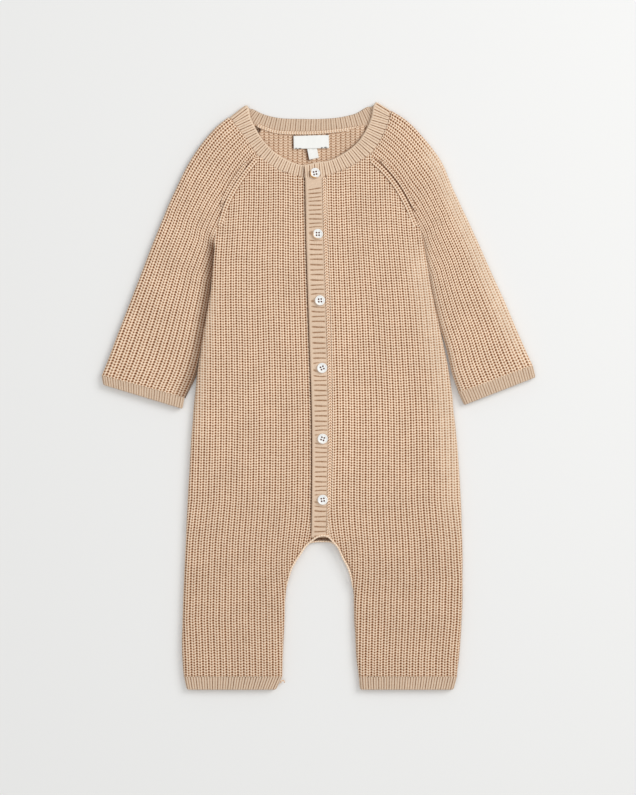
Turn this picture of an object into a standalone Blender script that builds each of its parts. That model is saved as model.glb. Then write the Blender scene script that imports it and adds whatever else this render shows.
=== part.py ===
"""Baby romper: long raglan sleeves, long legs and a buttoned front, in chunky rib knit, laid flat.

Run with: blender --background --python part.py

The romper lies on its back on the plane Z = 0. +Y runs to the neck, +X to the wearer's left and
+Z up through the cloth. The origin is the middle of its outline on that plane. Tables are in
millimetres and angles in degrees; MM turns a length into Blender's metres. "right" and "left"
are the wearer's.

Each piece of cloth is one sheet: its middle surface is laid out as rows of points, and Solidify
gives it its thickness. Front and back are two levels of flat cloth that roll round into each
other at the sides, the sleeve edges, the inner legs and the shoulders.
"""

import math
from typing import NamedTuple

import bmesh
import bpy
import numpy as np
from mathutils import Vector

MM = 0.001

# Cloth and its two levels
CLOTH = 2.4  # thickness of the knit
LAYER_GAP = 1.6  # air between the front and the back
SEAM_GAP = 0.3  # between two pieces at a seam
NECK_SEAM_GAP = 0.45
FOLD_RADIUS = (CLOTH + LAYER_GAP) / 2  # of the middle surface, round a fold
FOLD_REACH = FOLD_RADIUS + CLOTH / 2  # from the outer edge of a fold to where the cloth lies flat
BACK_LEVEL = CLOTH / 2
FRONT_LEVEL = BACK_LEVEL + 2 * FOLD_RADIUS
QUARTER_FOLD = (SEAM_GAP / 2, 1.05, 2.1, 3.2)  # distances from the seam, round a quarter fold
QUARTER_NO_SEAM = (0.0, 1.05, 2.1, 3.2)
FOLD_RIM = 0.75  # a cut edge on a fold leans this far over its seam, and is held back by it
FOLD_RIM_TURN = 45.0  # degrees round the fold from which it leans that far
HALF_FOLD = (SEAM_GAP / 2, 1.05, 2.1, 3.2, 4.3, 5.4, 6.4)

# The buttoned front: one band lies on the other
BAND_STEP = 2.8  # height of the upper band over the front
BAND_STEP_AT_CROTCH = 2.2
UNDER_BAND_DIP = 0.7  # the lower band is pressed down where the bands end
PRESSED_LENGTH = 30.0  # over which the bands come down at the crotch
LEVEL_AGAIN_START = 2.0  # above the crotch, the fronts start to come back to their level
LEVEL_AGAIN_LENGTH = 14.0  # and take this far
BAND_END = 1.0  # of both bands, above the crotch
RISE_RUN = 28.0  # width over which the left front climbs to the upper band
UNDER_BAND_INSET = 2.0  # the upper band's free edge covers the right front's seam by this
UNDER_BAND_SHORT = 1.5  # and reaches this much further than the lower band's free edge

CROTCH_Y = -130.2  # where the front and the back are joined between the legs
HEM_TOP_Y = -258.0
HEM_Y = -269.5


class Edge(NamedTuple):
    """A level across the body: the seam's X on the right and on the left half."""

    y: float
    right: float
    left: float
    turn: float  # degrees round the fold at which the seam lies, 0 for a seam on the flat


class Sleeve(NamedTuple):
    """A section of a sleeve, from its seam on the front round the outer fold to the back's."""

    front_x: float
    front_y: float
    outer_x: float
    outer_y: float
    back_x: float
    back_y: float
    turn: float


class Neck(NamedTuple):
    """A section of the neckband, from its free edge to its seam."""

    edge_x: float
    edge_y: float
    seam_x: float
    seam_y: float


class Band(NamedTuple):
    """A level across the button bands: the upper band's free edge and its seam."""

    y: float
    free: float
    seam: float


BANDS = (
    Band(199.5, -12.2, 7.0),
    Band(138.0, -11.0, 8.5),
    Band(60.0, -8.5, 11.0),
    Band(-22.0, -6.0, 12.5),
    Band(-93.0, -6.0, 11.5),
    Band(-129.5, -6.5, 11.0),
)

# The raglan seam of a front, then its side seam
FRONT_OUTER = (
    Edge(222.5, -56.5, 47.5, 0),
    Edge(209.5, -67.0, 62.0, 0),
    Edge(196.0, -76.5, 73.0, 0),
    Edge(178.0, -86.0, 83.5, 0),
    Edge(158.0, -92.5, 92.0, 0),
    Edge(144.0, -95.0, 96.0, 0),
    Edge(130.0, -96.5, 99.0, 90),
    Edge(98.0, -99.5, 104.5, 90),
    Edge(60.0, -106.0, 112.5, 90),
    Edge(20.0, -111.5, 120.5, 90),
    Edge(-22.0, -115.5, 125.5, 90),
    Edge(-77.0, -119.0, 130.0, 90),
    Edge(-137.0, -122.0, 132.3, 90),
    Edge(-196.0, -124.5, 132.3, 90),
    Edge(-240.0, -125.0, 129.3, 90),
    Edge(HEM_TOP_Y, -123.5, 127.5, 90),
)

# The back's raglan seam reaches higher, and meets the front's at the underarm
BACK_OUTER = (
    Edge(248.5, -52.5, 42.5, 0),
    Edge(231.0, -61.5, 55.0, 0),
    Edge(213.5, -71.0, 67.5, 0),
    Edge(191.0, -81.0, 79.5, 0),
    Edge(163.0, -91.0, 91.0, 0),
) + FRONT_OUTER[5:]

# The inner legs, down from the corners of the bands
INNER_LEG = (
    Edge(-131.5, -7.0, 13.0, 20),
    Edge(-139.5, -13.0, 18.5, 90),
    Edge(-149.5, -20.0, 24.5, 90),
    Edge(-158.5, -24.5, 29.5, 90),
    Edge(-173.0, -29.0, 32.0, 90),
    Edge(-205.5, -31.5, 33.5, 90),
    Edge(-240.0, -33.0, 35.5, 90),
    Edge(HEM_TOP_Y, -33.5, 37.5, 90),
)

# Between the legs the back is rolled right round to the front's level, to meet the bands
BACK_CROTCH = (
    # X, Y, degrees round the fold
    (-7.5, -132.5, 110),
    (-1.0, -130.5, 180),
    (3.0, -130.5, 180),
    (7.5, -130.5, 180),
    (13.5, -132.5, 110),
)

RIGHT_SLEEVE = (
    Sleeve(-56.5, 222.5, -82.0, 257.5, -52.5, 248.5, 0),
    Sleeve(-67.0, 209.5, -91.5, 250.0, -61.5, 231.0, 0),
    Sleeve(-76.5, 196.0, -104.0, 236.5, -71.0, 213.5, 0),
    Sleeve(-86.0, 178.0, -117.0, 218.0, -81.0, 191.0, 0),
    Sleeve(-92.5, 158.0, -131.0, 190.5, -91.0, 163.0, 0),
    Sleeve(-95.4, 144.0, -142.5, 165.0, -95.4, 144.0, 0),
    Sleeve(-97.5, 129.0, -151.0, 144.5, -97.5, 129.0, 90),
    Sleeve(-102.5, 97.5, -163.5, 112.0, -102.5, 97.5, 90),
    Sleeve(-107.5, 67.0, -176.0, 80.0, -107.5, 67.0, 90),
    Sleeve(-111.0, 44.0, -185.5, 55.5, -111.0, 44.0, 90),
    Sleeve(-116.5, 21.0, -194.0, 33.0, -116.5, 21.0, 90),
    Sleeve(-123.5, -1.0, -199.5, 19.5, -123.5, -1.0, 90),
)

LEFT_SLEEVE = (
    Sleeve(47.5, 222.5, 67.0, 263.0, 42.5, 248.5, 0),
    Sleeve(62.0, 209.5, 79.0, 255.5, 55.0, 231.0, 0),
    Sleeve(73.0, 196.0, 98.0, 236.5, 67.5, 213.5, 0),
    Sleeve(83.5, 178.0, 112.0, 218.0, 79.5, 191.0, 0),
    Sleeve(92.0, 158.0, 124.0, 190.5, 91.0, 163.0, 0),
    Sleeve(96.4, 144.0, 136.5, 165.0, 96.4, 144.0, 0),
    Sleeve(100.5, 129.0, 146.0, 144.5, 100.5, 129.0, 90),
    Sleeve(107.0, 98.0, 159.5, 114.0, 107.0, 98.0, 90),
    Sleeve(114.0, 67.0, 171.0, 89.0, 114.0, 67.0, 90),
    Sleeve(119.0, 42.0, 182.5, 62.0, 119.0, 42.0, 90),
    Sleeve(123.5, 21.0, 191.5, 41.5, 123.5, 21.0, 90),
    Sleeve(129.5, 3.5, 197.5, 28.5, 129.5, 3.5, 90),
)

# From the lower end under the buttons, up the right of the neck
RIGHT_NECK = (
    Neck(5.5, 216.0, 5.5, 201.0),
    Neck(-2.0, 215.0, -3.0, 200.5),
    Neck(-13.0, 213.5, -14.5, 201.0),
    Neck(-29.0, 218.5, -34.5, 206.5),
    Neck(-42.5, 227.5, -50.5, 217.0),
    Neck(-52.0, 238.0, -62.5, 230.0),
    Neck(-59.0, 250.0, -72.5, 244.0),
    Neck(-62.5, 258.0, -77.5, 250.5),
)
RIGHT_SHOULDER = Neck(-66.5, 269.5, -82.0, 257.5)
BACK_NECK = (
    Neck(-60.0, 264.0, -70.5, 254.5),
    Neck(-51.0, 259.5, -56.5, 250.0),
    Neck(-38.0, 256.0, -41.0, 244.5),
    Neck(-17.0, 255.0, -18.0, 243.0),
    Neck(1.5, 255.0, 1.0, 243.5),
    Neck(22.0, 257.0, 24.5, 246.0),
    Neck(35.0, 260.5, 40.0, 249.5),
    Neck(43.5, 264.5, 54.0, 257.0),
)
LEFT_SHOULDER = Neck(51.0, 269.5, 67.0, 263.0)
# And down the left of the neck to the upper end, under the top button
LEFT_NECK = (
    Neck(49.0, 258.5, 65.5, 253.5),
    Neck(43.0, 244.5, 58.5, 236.5),
    Neck(35.5, 234.0, 47.5, 223.0),
    Neck(23.0, 224.0, 31.0, 211.5),
    Neck(8.5, 217.0, 12.0, 203.0),
    Neck(-2.5, 215.5, -2.0, 200.0),
    Neck(-13.0, 213.0, -12.2, 199.8),
)

RIGHT_CUFF_END = ((-125.5, -11.0), (-198.0, 11.0))  # inner and outer corner of the open end
LEFT_CUFF_END = ((134.5, -7.5), (200.0, 18.0))
RIGHT_HEM_END = ((-39.0, HEM_Y), (-121.0, HEM_Y))
LEFT_HEM_END = ((38.5, HEM_Y), (124.5, HEM_Y))

BUTTONS = (
    # X, Y of each centre, from the neck down
    (-3.0, 206.0),
    (-0.5, 149.5),
    (1.5, 88.5),
    (3.5, 26.5),
    (4.0, -38.5),
    (4.0, -94.5),
)
BUTTON_RADIUS = 5.1
BUTTON_THICKNESS = 2.0
BUTTON_DISH_RADIUS = 3.6
BUTTON_DISH_DEPTH = 0.5
BUTTON_HOLE_RADIUS = 0.65
BUTTON_HOLE_OFFSET = 1.2
BUTTON_EDGE = 0.65  # of the thickness, the height of the widest level
BUTTON_SIDES = 20
BUTTON_HOLE_SIDES = 8

LABEL_CENTRE = (-6.5, 234.8)
LABEL_SIZE = (32.5, 12.0, 0.6)
LABEL_TURN = -1.0
SIZE_TAB_CENTRE = (-5.2, 226.0)
SIZE_TAB_SIZE = (9.0, 13.5, 0.5)
SIZE_TAB_TURN = 7.0

BODY_ROWS = 34
BAND_SEAM_ROWS = 22  # of them, down to the corner of the band
LEG_ROWS = 44  # round the crotch, from hem to hem
BODY_COLUMNS = 9  # between the folds of one front
SLEEVE_ROWS = 22
SLEEVE_COLUMNS = 7  # between the folds of one side of a sleeve
BAND_ROWS = 28
BAND_COLUMNS = 4
RING_ROWS = 4
NECK_COLUMNS = 4
NECK_ROWS = 3  # from one section in the table to the next
CURVE_STEPS = 16  # from one station of a smooth line to the next
BAND_LINE_POINTS = 60
NECK_LINE_POINTS = 200
HEADING_POINT = 12  # far enough along a line of that many points to give its direction
WELD = 0.01  # points closer than this are one

ROMPER = "baby_romper"
CUTTERS = "cutters"

KNIT = ("rib_knit", (0.66, 0.46, 0.33), 0.95)
WOVEN = ("label_woven", (0.83, 0.83, 0.79), 0.85)
SHELL = ("button_shell", (0.86, 0.84, 0.80), 0.25)


def clear_scene():
    for item in list(bpy.data.objects):
        bpy.data.objects.remove(item, do_unlink=True)


def new_collection(name):
    collection = bpy.data.collections.new(name)
    bpy.context.scene.collection.children.link(collection)
    return collection


def finish_of(piece, finish):
    """A Principled material of the piece's own."""
    kind, colour, roughness = finish
    material = bpy.data.materials.new(f"{piece}_{kind}")
    material.use_nodes = True
    shader = material.node_tree.nodes["Principled BSDF"]
    shader.inputs["Base Color"].default_value = (*colour, 1.0)
    shader.inputs["Roughness"].default_value = roughness
    shader.inputs["Metallic"].default_value = 0.0
    return material


def add_object(name, mesh, finish):
    piece = bpy.data.objects.new(name, mesh)
    bpy.data.collections[ROMPER].objects.link(piece)
    mesh.materials.append(finish_of(name, finish))
    return piece


# Lines


def smooth_line(stations, count):
    """`count` rows evenly spaced along a smooth curve through the stations' first two columns.
    Any further column changes evenly from station to station."""
    stations = np.asarray(stations, float)
    places = stations[:, :2]
    spans = np.hypot(*np.diff(places, axis=0).T)
    slopes = np.diff(places, axis=0) / spans[:, None]
    before, after = spans[:-1, None], spans[1:, None]
    inner = (slopes[:-1] * after + slopes[1:] * before) / (before + after)
    tangents = np.vstack([slopes[:1], inner, slopes[-1:]])
    fine = []
    for index, span in enumerate(spans):
        for t in np.linspace(0, 1, CURVE_STEPS, endpoint=False):
            place = (
                (2 * t**3 - 3 * t**2 + 1) * places[index]
                + (t**3 - 2 * t**2 + t) * span * tangents[index]
                + (3 * t**2 - 2 * t**3) * places[index + 1]
                + (t**3 - t**2) * span * tangents[index + 1]
            )
            rest = stations[index, 2:] * (1 - t) + stations[index + 1, 2:] * t
            fine.append((*place, *rest))
    fine.append(stations[-1])
    fine = np.array(fine)
    steps = np.hypot(*np.diff(fine[:, :2], axis=0).T)
    travelled = np.concatenate([[0.0], np.cumsum(steps)])
    wanted = np.linspace(0, travelled[-1], count)
    return np.column_stack([np.interp(wanted, travelled, column) for column in fine.T])


def stretch_between(line, start, end):
    """The part of a line from the point nearest to `start` to the one nearest to `end`."""
    line = np.asarray(line, float)[:, :2]
    first = int(np.argmin(np.hypot(*(line - start).T)))
    last = int(np.argmin(np.hypot(*(line - end).T)))
    if first > last:
        return line[last : first + 1][::-1]
    return line[first : last + 1]


def unit(vectors):
    vectors = np.asarray(vectors, float)
    return vectors / np.linalg.norm(vectors, axis=-1, keepdims=True)


def normals_of(line, side):
    """Unit normals of a line in plan, to its left for side 1 and to its right for side -1."""
    along = unit(np.gradient(line[:, :2], axis=0))
    return side * np.column_stack([-along[:, 1], along[:, 0]])


def heading(line):
    """The direction in which a line sets out."""
    return unit(smooth_line(line, NECK_LINE_POINTS)[HEADING_POINT] - line[0])


def ease(value):
    """0 to 1 with flat ends."""
    value = min(max(value, 0.0), 1.0)
    return value * value * (3 - 2 * value)


# Folds


def fold_points(seam, inward, turn, distances):
    """Points of the cloth's middle surface at distances from a seam that lies `turn` degrees
    round a fold: X, Y and how far the cloth has left its own level for the other one."""
    held_back = FOLD_RIM * min(turn / FOLD_RIM_TURN, 1.0) if distances[0] else 0.0
    turn = math.radians(turn)
    arc = FOLD_RADIUS * turn
    outer_edge = FOLD_REACH * (1 - math.sin(turn)) - SEAM_GAP / 2 * math.sin(turn)
    points = []
    for distance in (distances[0] + held_back, *distances[1:]):
        angle = max(turn - distance / FOLD_RADIUS, 0.0)
        reach = FOLD_REACH - FOLD_RADIUS * math.sin(angle) + max(distance - arc, 0.0)
        x, y = np.asarray(seam) + np.asarray(inward) * (reach - outer_edge)
        points.append((x, y, FOLD_RADIUS * (1 - math.cos(angle))))
    return np.array(points)


def between(start, end, count):
    """`count` points strictly between two points."""
    fractions = np.linspace(0, 1, count + 2)[1:-1, None]
    return start + (end - start) * fractions


def cloth_row(start_fold, end_fold, count, level, way):
    """One row of a sheet from fold to fold. `way` is -1 for cloth on the front, whose folds go
    down, and 1 for the back's."""
    row = np.vstack([start_fold, between(start_fold[-1], end_fold[-1], count), end_fold[::-1]])
    row[:, 2] = level + way * row[:, 2]
    return row


def follow_top(rows, first, count, curve, reach=5):
    """Moves the flat part of a sheet's first rows so that the first row lies on a curve."""
    target = smooth_line(curve, count + 2)[1:-1]
    part = slice(first, first + count)
    shift = target - rows[0][part, :2]
    for index in range(reach):
        rows[index][part, :2] += shift * (1 - index / reach)


# Sheets


def add_sheet(name, rows, thickness=CLOTH, closed=False):
    """A piece of cloth whose middle surface goes through rows of points in millimetres."""
    rows = np.asarray(rows)
    row_count, column_count = rows.shape[:2]
    grid = bmesh.new()
    bmesh.ops.create_grid(
        grid, x_segments=column_count - 1, y_segments=row_count - 1, size=0.5
    )
    for vertex in grid.verts:
        column = round((vertex.co.x + 0.5) * (column_count - 1))
        row = round((0.5 - vertex.co.y) * (row_count - 1))
        vertex.co = Vector(rows[row, column]) * MM
    if closed:
        bmesh.ops.remove_doubles(grid, verts=grid.verts, dist=WELD * MM)
    bmesh.ops.recalc_face_normals(grid, faces=grid.faces)
    return sheet_object(name, grid, thickness)


def sheet_object(name, surface, thickness):
    mesh = bpy.data.meshes.new(name)
    surface.to_mesh(mesh)
    surface.free()
    mesh.shade_smooth()
    piece = add_object(name, mesh, KNIT)
    wall = piece.modifiers.new("cloth", "SOLIDIFY")
    wall.thickness = thickness * MM
    wall.offset = 0.0
    wall.use_even_offset = True
    return piece


def grow_fold(surface, chain, rings):
    """Extrudes a chain of border vertices outwards, through one ring of points after another."""
    for ring in rings:
        edges = [surface.edges.get(pair) for pair in zip(chain, chain[1:])]
        grown = bmesh.ops.extrude_edge_only(surface, edges=edges)["geom"]
        new = {item for item in grown if isinstance(item, bmesh.types.BMVert)}
        chain = [
            next(edge.other_vert(v) for edge in v.link_edges if edge.other_vert(v) in new)
            for v in chain
        ]
        for vertex, point in zip(chain, ring):
            vertex.co = Vector(point) * MM


# The body


def band_line(column):
    return [(getattr(band, column), band.y) for band in BANDS]


def band_x(column, y):
    """X of a button band's free edge or seam at a level."""
    x, levels = smooth_line(band_line(column), BAND_LINE_POINTS)[::-1].T
    return float(np.interp(y, levels, x))


def at_crotch(y):
    """0 above the stretch where the bands are pressed down, 1 at the crotch."""
    return ease(1 - (y - CROTCH_Y) / PRESSED_LENGTH)


def below_bands(y):
    """0 beside the bands, 1 where the fronts lie level again on the legs."""
    return ease((CROTCH_Y + LEVEL_AGAIN_START - y) / LEVEL_AGAIN_LENGTH)


def upper_band_step(y):
    return BAND_STEP + (BAND_STEP_AT_CROTCH - BAND_STEP) * at_crotch(y)


def rise_to_band(x, y):
    """Height of the left front and the left neckband over the front's level."""
    nearness = ease(1 - (x - band_x("seam", y)) / RISE_RUN)
    return upper_band_step(y) * nearness * (1 - below_bands(y))


def dip_to_band(x, y):
    """Depth of the right front under the front's level, where it is pressed down with its band."""
    seam = band_x("free", y) + UNDER_BAND_INSET
    nearness = ease(1 - (seam - x) / RISE_RUN)
    return UNDER_BAND_DIP * at_crotch(y) * nearness * (1 - below_bands(y))


def front_inner(side):
    """A front's inner line: its band seam, then from the corner down the inner leg."""
    inset = UNDER_BAND_INSET if side == "right" else 0.0
    column = "free" if side == "right" else "seam"
    seam = [(x + inset, y, 0) for x, y in band_line(column)]
    leg = seam[-1:] + edge_line(INNER_LEG, side)
    return np.vstack(
        [smooth_line(seam, BAND_SEAM_ROWS)[:-1], smooth_line(leg, BODY_ROWS - BAND_SEAM_ROWS + 1)]
    )


def edge_line(table, side):
    return [(getattr(edge, side), edge.y, edge.turn) for edge in table]


def add_front(name, side, neck_seam):
    """One front with its leg, from the raglan and side seam to the band and the inner leg."""
    way = 1 if side == "right" else -1
    outer = smooth_line(edge_line(FRONT_OUTER, side), BODY_ROWS)
    inner = front_inner(side)
    neck = stretch_between(neck_seam, outer[0, :2], inner[0, :2])
    outer_in = normals_of(outer, way)
    inner_in = normals_of(inner, -way)
    outer_in[0], inner_in[0] = heading(neck), heading(neck[::-1])
    outer_in[-1], inner_in[-1] = (way, 0), (-way, 0)
    rows = []
    for index in range(BODY_ROWS):
        start = fold_points(outer[index, :2], outer_in[index], outer[index, 2], QUARTER_FOLD)
        end = fold_points(inner[index, :2], inner_in[index], inner[index, 2], QUARTER_FOLD)
        rows.append(cloth_row(start, end, BODY_COLUMNS, FRONT_LEVEL, -1))
    follow_top(rows, len(QUARTER_FOLD), BODY_COLUMNS, neck)
    for row in rows:
        if side == "left":
            row[:, 2] += [rise_to_band(x, y) for x, y in row[:, :2]]
        else:
            row[:, 2] -= [dip_to_band(x, y) for x, y in row[:, :2]]
    add_sheet(name, rows)


def add_back(name, neck_seam):
    """The back with both legs: one flat face whose borders are rolled up at the sides, round the
    crotch and down the inner legs."""
    rings = {}
    top = BACK_OUTER[0]
    neck = stretch_between(neck_seam, (top.right, top.y), (top.left, top.y))
    for side, way, along_neck in (("right", 1, neck), ("left", -1, neck[::-1])):
        outer = smooth_line(edge_line(BACK_OUTER, side), BODY_ROWS)
        inward = normals_of(outer, way)
        inward[0] = heading(along_neck)
        inward[-1] = (way, 0)
        rings[side] = [
            fold_points(point[:2], direction, point[2], QUARTER_FOLD)
            for point, direction in zip(outer, inward)
        ]
    right, left = (edge_line(INNER_LEG[1:], side) for side in ("right", "left"))
    inner = smooth_line(right[::-1] + list(BACK_CROTCH) + left, LEG_ROWS)
    inward = normals_of(inner, 1)
    inward[0], inward[-1] = (-1, 0), (1, 0)
    rings["legs"] = [
        fold_points(point[:2], direction, point[2], HALF_FOLD)
        for point, direction in zip(inner, inward)
    ]
    for ring in (point for side in rings.values() for point in side):
        ring[:, 2] += BACK_LEVEL
    flat = {side: [points[-1] for points in ring] for side, ring in rings.items()}
    surface = bmesh.new()
    chains = {
        side: [surface.verts.new(Vector(point) * MM) for point in flat[side]]
        for side in ("right", "legs", "left")
    }
    chains["left"].reverse()
    neck_points = smooth_line(neck, BODY_COLUMNS + 6)[-2:0:-1]
    neck_vertices = [surface.verts.new(Vector((*p, BACK_LEVEL)) * MM) for p in neck_points]
    surface.faces.new(chains["right"] + chains["legs"] + chains["left"] + neck_vertices)
    chains["left"].reverse()
    for side, chain in chains.items():
        steps = len(rings[side][0])
        outward = [
            [points[step] for points in rings[side]] for step in range(steps - 2, -1, -1)
        ]
        grow_fold(surface, chain, outward)
    bmesh.ops.recalc_face_normals(surface, faces=surface.faces)
    sheet_object(name, surface, CLOTH)


def add_band(name, from_free, from_seam, level_at):
    """A button band: a strip from the neckband to the crotch, set in from the lines of BANDS."""
    top, bottom = BANDS[0].y - NECK_SEAM_GAP, CROTCH_Y + BAND_END
    rows = []
    for y in np.linspace(top, bottom, BAND_ROWS):
        left = band_x("free", y) + from_free
        right = band_x("seam", y) - from_seam
        rows.append(
            [(x, y, level_at(y)) for x in np.linspace(left, right, BAND_COLUMNS + 1)]
        )
    add_sheet(name, rows)


def add_bands():
    add_band(
        "button_band_right",
        UNDER_BAND_INSET + SEAM_GAP / 2,
        UNDER_BAND_SHORT,
        lambda y: FRONT_LEVEL - UNDER_BAND_DIP * at_crotch(y),
    )
    add_band(
        "buttonhole_band_left",
        0.0,
        SEAM_GAP / 2,
        lambda y: FRONT_LEVEL + upper_band_step(y),
    )


# The neckband


def seam_of(sections):
    return [(section.seam_x, section.seam_y) for section in sections]


def section_ends(section):
    """The two ends of a section, the seam's drawn in by the gap."""
    edge = np.array((section.edge_x, section.edge_y))
    seam = np.array((section.seam_x, section.seam_y))
    return edge, seam + unit(edge - seam) * NECK_SEAM_GAP


def shoulder_inward(section, way):
    along = unit((section.seam_x - section.edge_x, section.seam_y - section.edge_y))
    return way * np.array((-along[1], along[0]))


def neck_seams():
    """The seam round the neck, as three lines: up the right front, across the back between the
    shoulder folds, and down the left front."""
    ends = {}
    for side, section, way in (("right", RIGHT_SHOULDER, 1), ("left", LEFT_SHOULDER, -1)):
        inward = shoulder_inward(section, way)
        fold = fold_points(seam_of([section])[0], inward, 90, QUARTER_NO_SEAM)
        ends[side] = tuple(fold[-1, :2])
    return {
        "right": smooth_line(seam_of(RIGHT_NECK) + [ends["right"]], NECK_LINE_POINTS),
        "back": smooth_line(
            [ends["right"]] + seam_of(BACK_NECK) + [ends["left"]], NECK_LINE_POINTS
        ),
        "left": smooth_line([ends["left"]] + seam_of(LEFT_NECK), NECK_LINE_POINTS),
    }


def shoulder_rows(section, way):
    """Sections of the neckband round a shoulder fold, from the front to the back."""
    inward = shoulder_inward(section, way)
    ends = [
        fold_points(point, inward, 90, QUARTER_NO_SEAM) for point in section_ends(section)
    ]
    rows = []
    for step in range(len(QUARTER_NO_SEAM) - 1, -1, -1):
        rows.append([(*end[step, :2], FRONT_LEVEL - end[step, 2]) for end in ends])
    for step in range(1, len(QUARTER_NO_SEAM)):
        rows.append([(*end[step, :2], BACK_LEVEL + end[step, 2]) for end in ends])
    return rows


def flat_rows(sections, level_at):
    rows = []
    for section in sections:
        rows.append([(*point, level_at(*point)) for point in section_ends(section)])
    return rows


def add_neckband(name):
    """One strip round the neck, whose ends lap at the front."""
    right = flat_rows(RIGHT_NECK, lambda x, y: FRONT_LEVEL)
    back = flat_rows(BACK_NECK, lambda x, y: BACK_LEVEL)
    left = flat_rows(LEFT_NECK, lambda x, y: FRONT_LEVEL + rise_to_band(x, y))
    stretches = (
        smooth_stretch(right + shoulder_rows(RIGHT_SHOULDER, 1)[:1])[:-1],
        shoulder_rows(RIGHT_SHOULDER, 1),
        smooth_stretch(
            shoulder_rows(RIGHT_SHOULDER, 1)[-1:]
            + back
            + shoulder_rows(LEFT_SHOULDER, -1)[-1:]
        )[1:-1],
        shoulder_rows(LEFT_SHOULDER, -1)[::-1],
        smooth_stretch(shoulder_rows(LEFT_SHOULDER, -1)[:1] + left)[1:],
    )
    rows = []
    for stretch in stretches:
        for edge, seam in stretch:
            rows.append(np.linspace(edge, seam, NECK_COLUMNS))
    add_sheet(name, rows)


def smooth_stretch(rows):
    """More sections between the given ones, on smooth curves through their ends."""
    count = (len(rows) - 1) * NECK_ROWS + 1
    rows = np.array(rows)
    edge = smooth_line(rows[:, 0], count)
    seam = smooth_line(rows[:, 1], count)
    return list(np.stack([edge, seam], axis=1))


# Sleeves, cuffs and hems


def sleeve_lines(table, rows):
    front = smooth_line([(s.front_x, s.front_y, s.turn) for s in table], rows)
    outer = smooth_line([(s.outer_x, s.outer_y) for s in table], rows)
    back = smooth_line([(s.back_x, s.back_y, s.turn) for s in table], rows)
    return front, outer, back


def add_sleeve(name, table, way, shoulder, front_neck, back_neck):
    """A sleeve in one piece: from its seam on the front, round the outer fold, to the back's."""
    front, outer, back = sleeve_lines(table, SLEEVE_ROWS)
    front_neck = stretch_between(front_neck, front[0, :2], outer[0])
    back_neck = stretch_between(back_neck, back[0, :2], outer[0])
    front_in = normals_of(front, -way)
    back_in = normals_of(back, -way)
    outer_in = normals_of(outer, way)
    end = unit(outer[-1] - front[-1, :2])
    front_in[0], back_in[0] = heading(front_neck), heading(back_neck)
    outer_in[0] = shoulder_inward(shoulder, way)
    front_in[-1], back_in[-1], outer_in[-1] = end, end, -end
    front_rows, back_rows = [], []
    for i in range(SLEEVE_ROWS):
        seam = fold_points(front[i, :2], front_in[i], front[i, 2], QUARTER_FOLD)
        fold = fold_points(outer[i], outer_in[i], 90, QUARTER_NO_SEAM)
        front_rows.append(cloth_row(seam, fold, SLEEVE_COLUMNS, FRONT_LEVEL, -1))
        seam = fold_points(back[i, :2], back_in[i], back[i, 2], QUARTER_FOLD)
        back_rows.append(cloth_row(seam, fold, SLEEVE_COLUMNS, BACK_LEVEL, 1))
    follow_top(front_rows, len(QUARTER_FOLD), SLEEVE_COLUMNS, front_neck)
    follow_top(back_rows, len(QUARTER_FOLD), SLEEVE_COLUMNS, back_neck)
    rows = [
        np.vstack([front_row, back_row[-2::-1]])
        for front_row, back_row in zip(front_rows, back_rows)
    ]
    add_sheet(name, rows)


def ring_row(inner, outer):
    """A closed section of a flattened tube between two outer edges."""
    inner, outer = np.asarray(inner, float), np.asarray(outer, float)
    outwards = unit(outer - inner)
    halves = []
    for level, way in ((FRONT_LEVEL, -1), (BACK_LEVEL, 1)):
        start = fold_points(inner, outwards, 90, QUARTER_NO_SEAM)
        end = fold_points(outer, -outwards, 90, QUARTER_NO_SEAM)
        halves.append(cloth_row(start, end, SLEEVE_COLUMNS, level, way))
    return np.vstack([halves[0], halves[1][-2::-1]])


def add_ring(name, inner_top, outer_top, end):
    """A cuff or hem band: a ring of cloth from its seam to the open end."""
    start = np.array((inner_top, outer_top), float)
    end = np.array(end, float)
    start = start + unit((end - start).mean(axis=0)) * (SEAM_GAP + FOLD_RIM)
    sections = [
        ring_row(*(start + (end - start) * index / (RING_ROWS - 1)))
        for index in range(RING_ROWS)
    ]
    add_sheet(name, sections, closed=True)


# Buttons and labels


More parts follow.
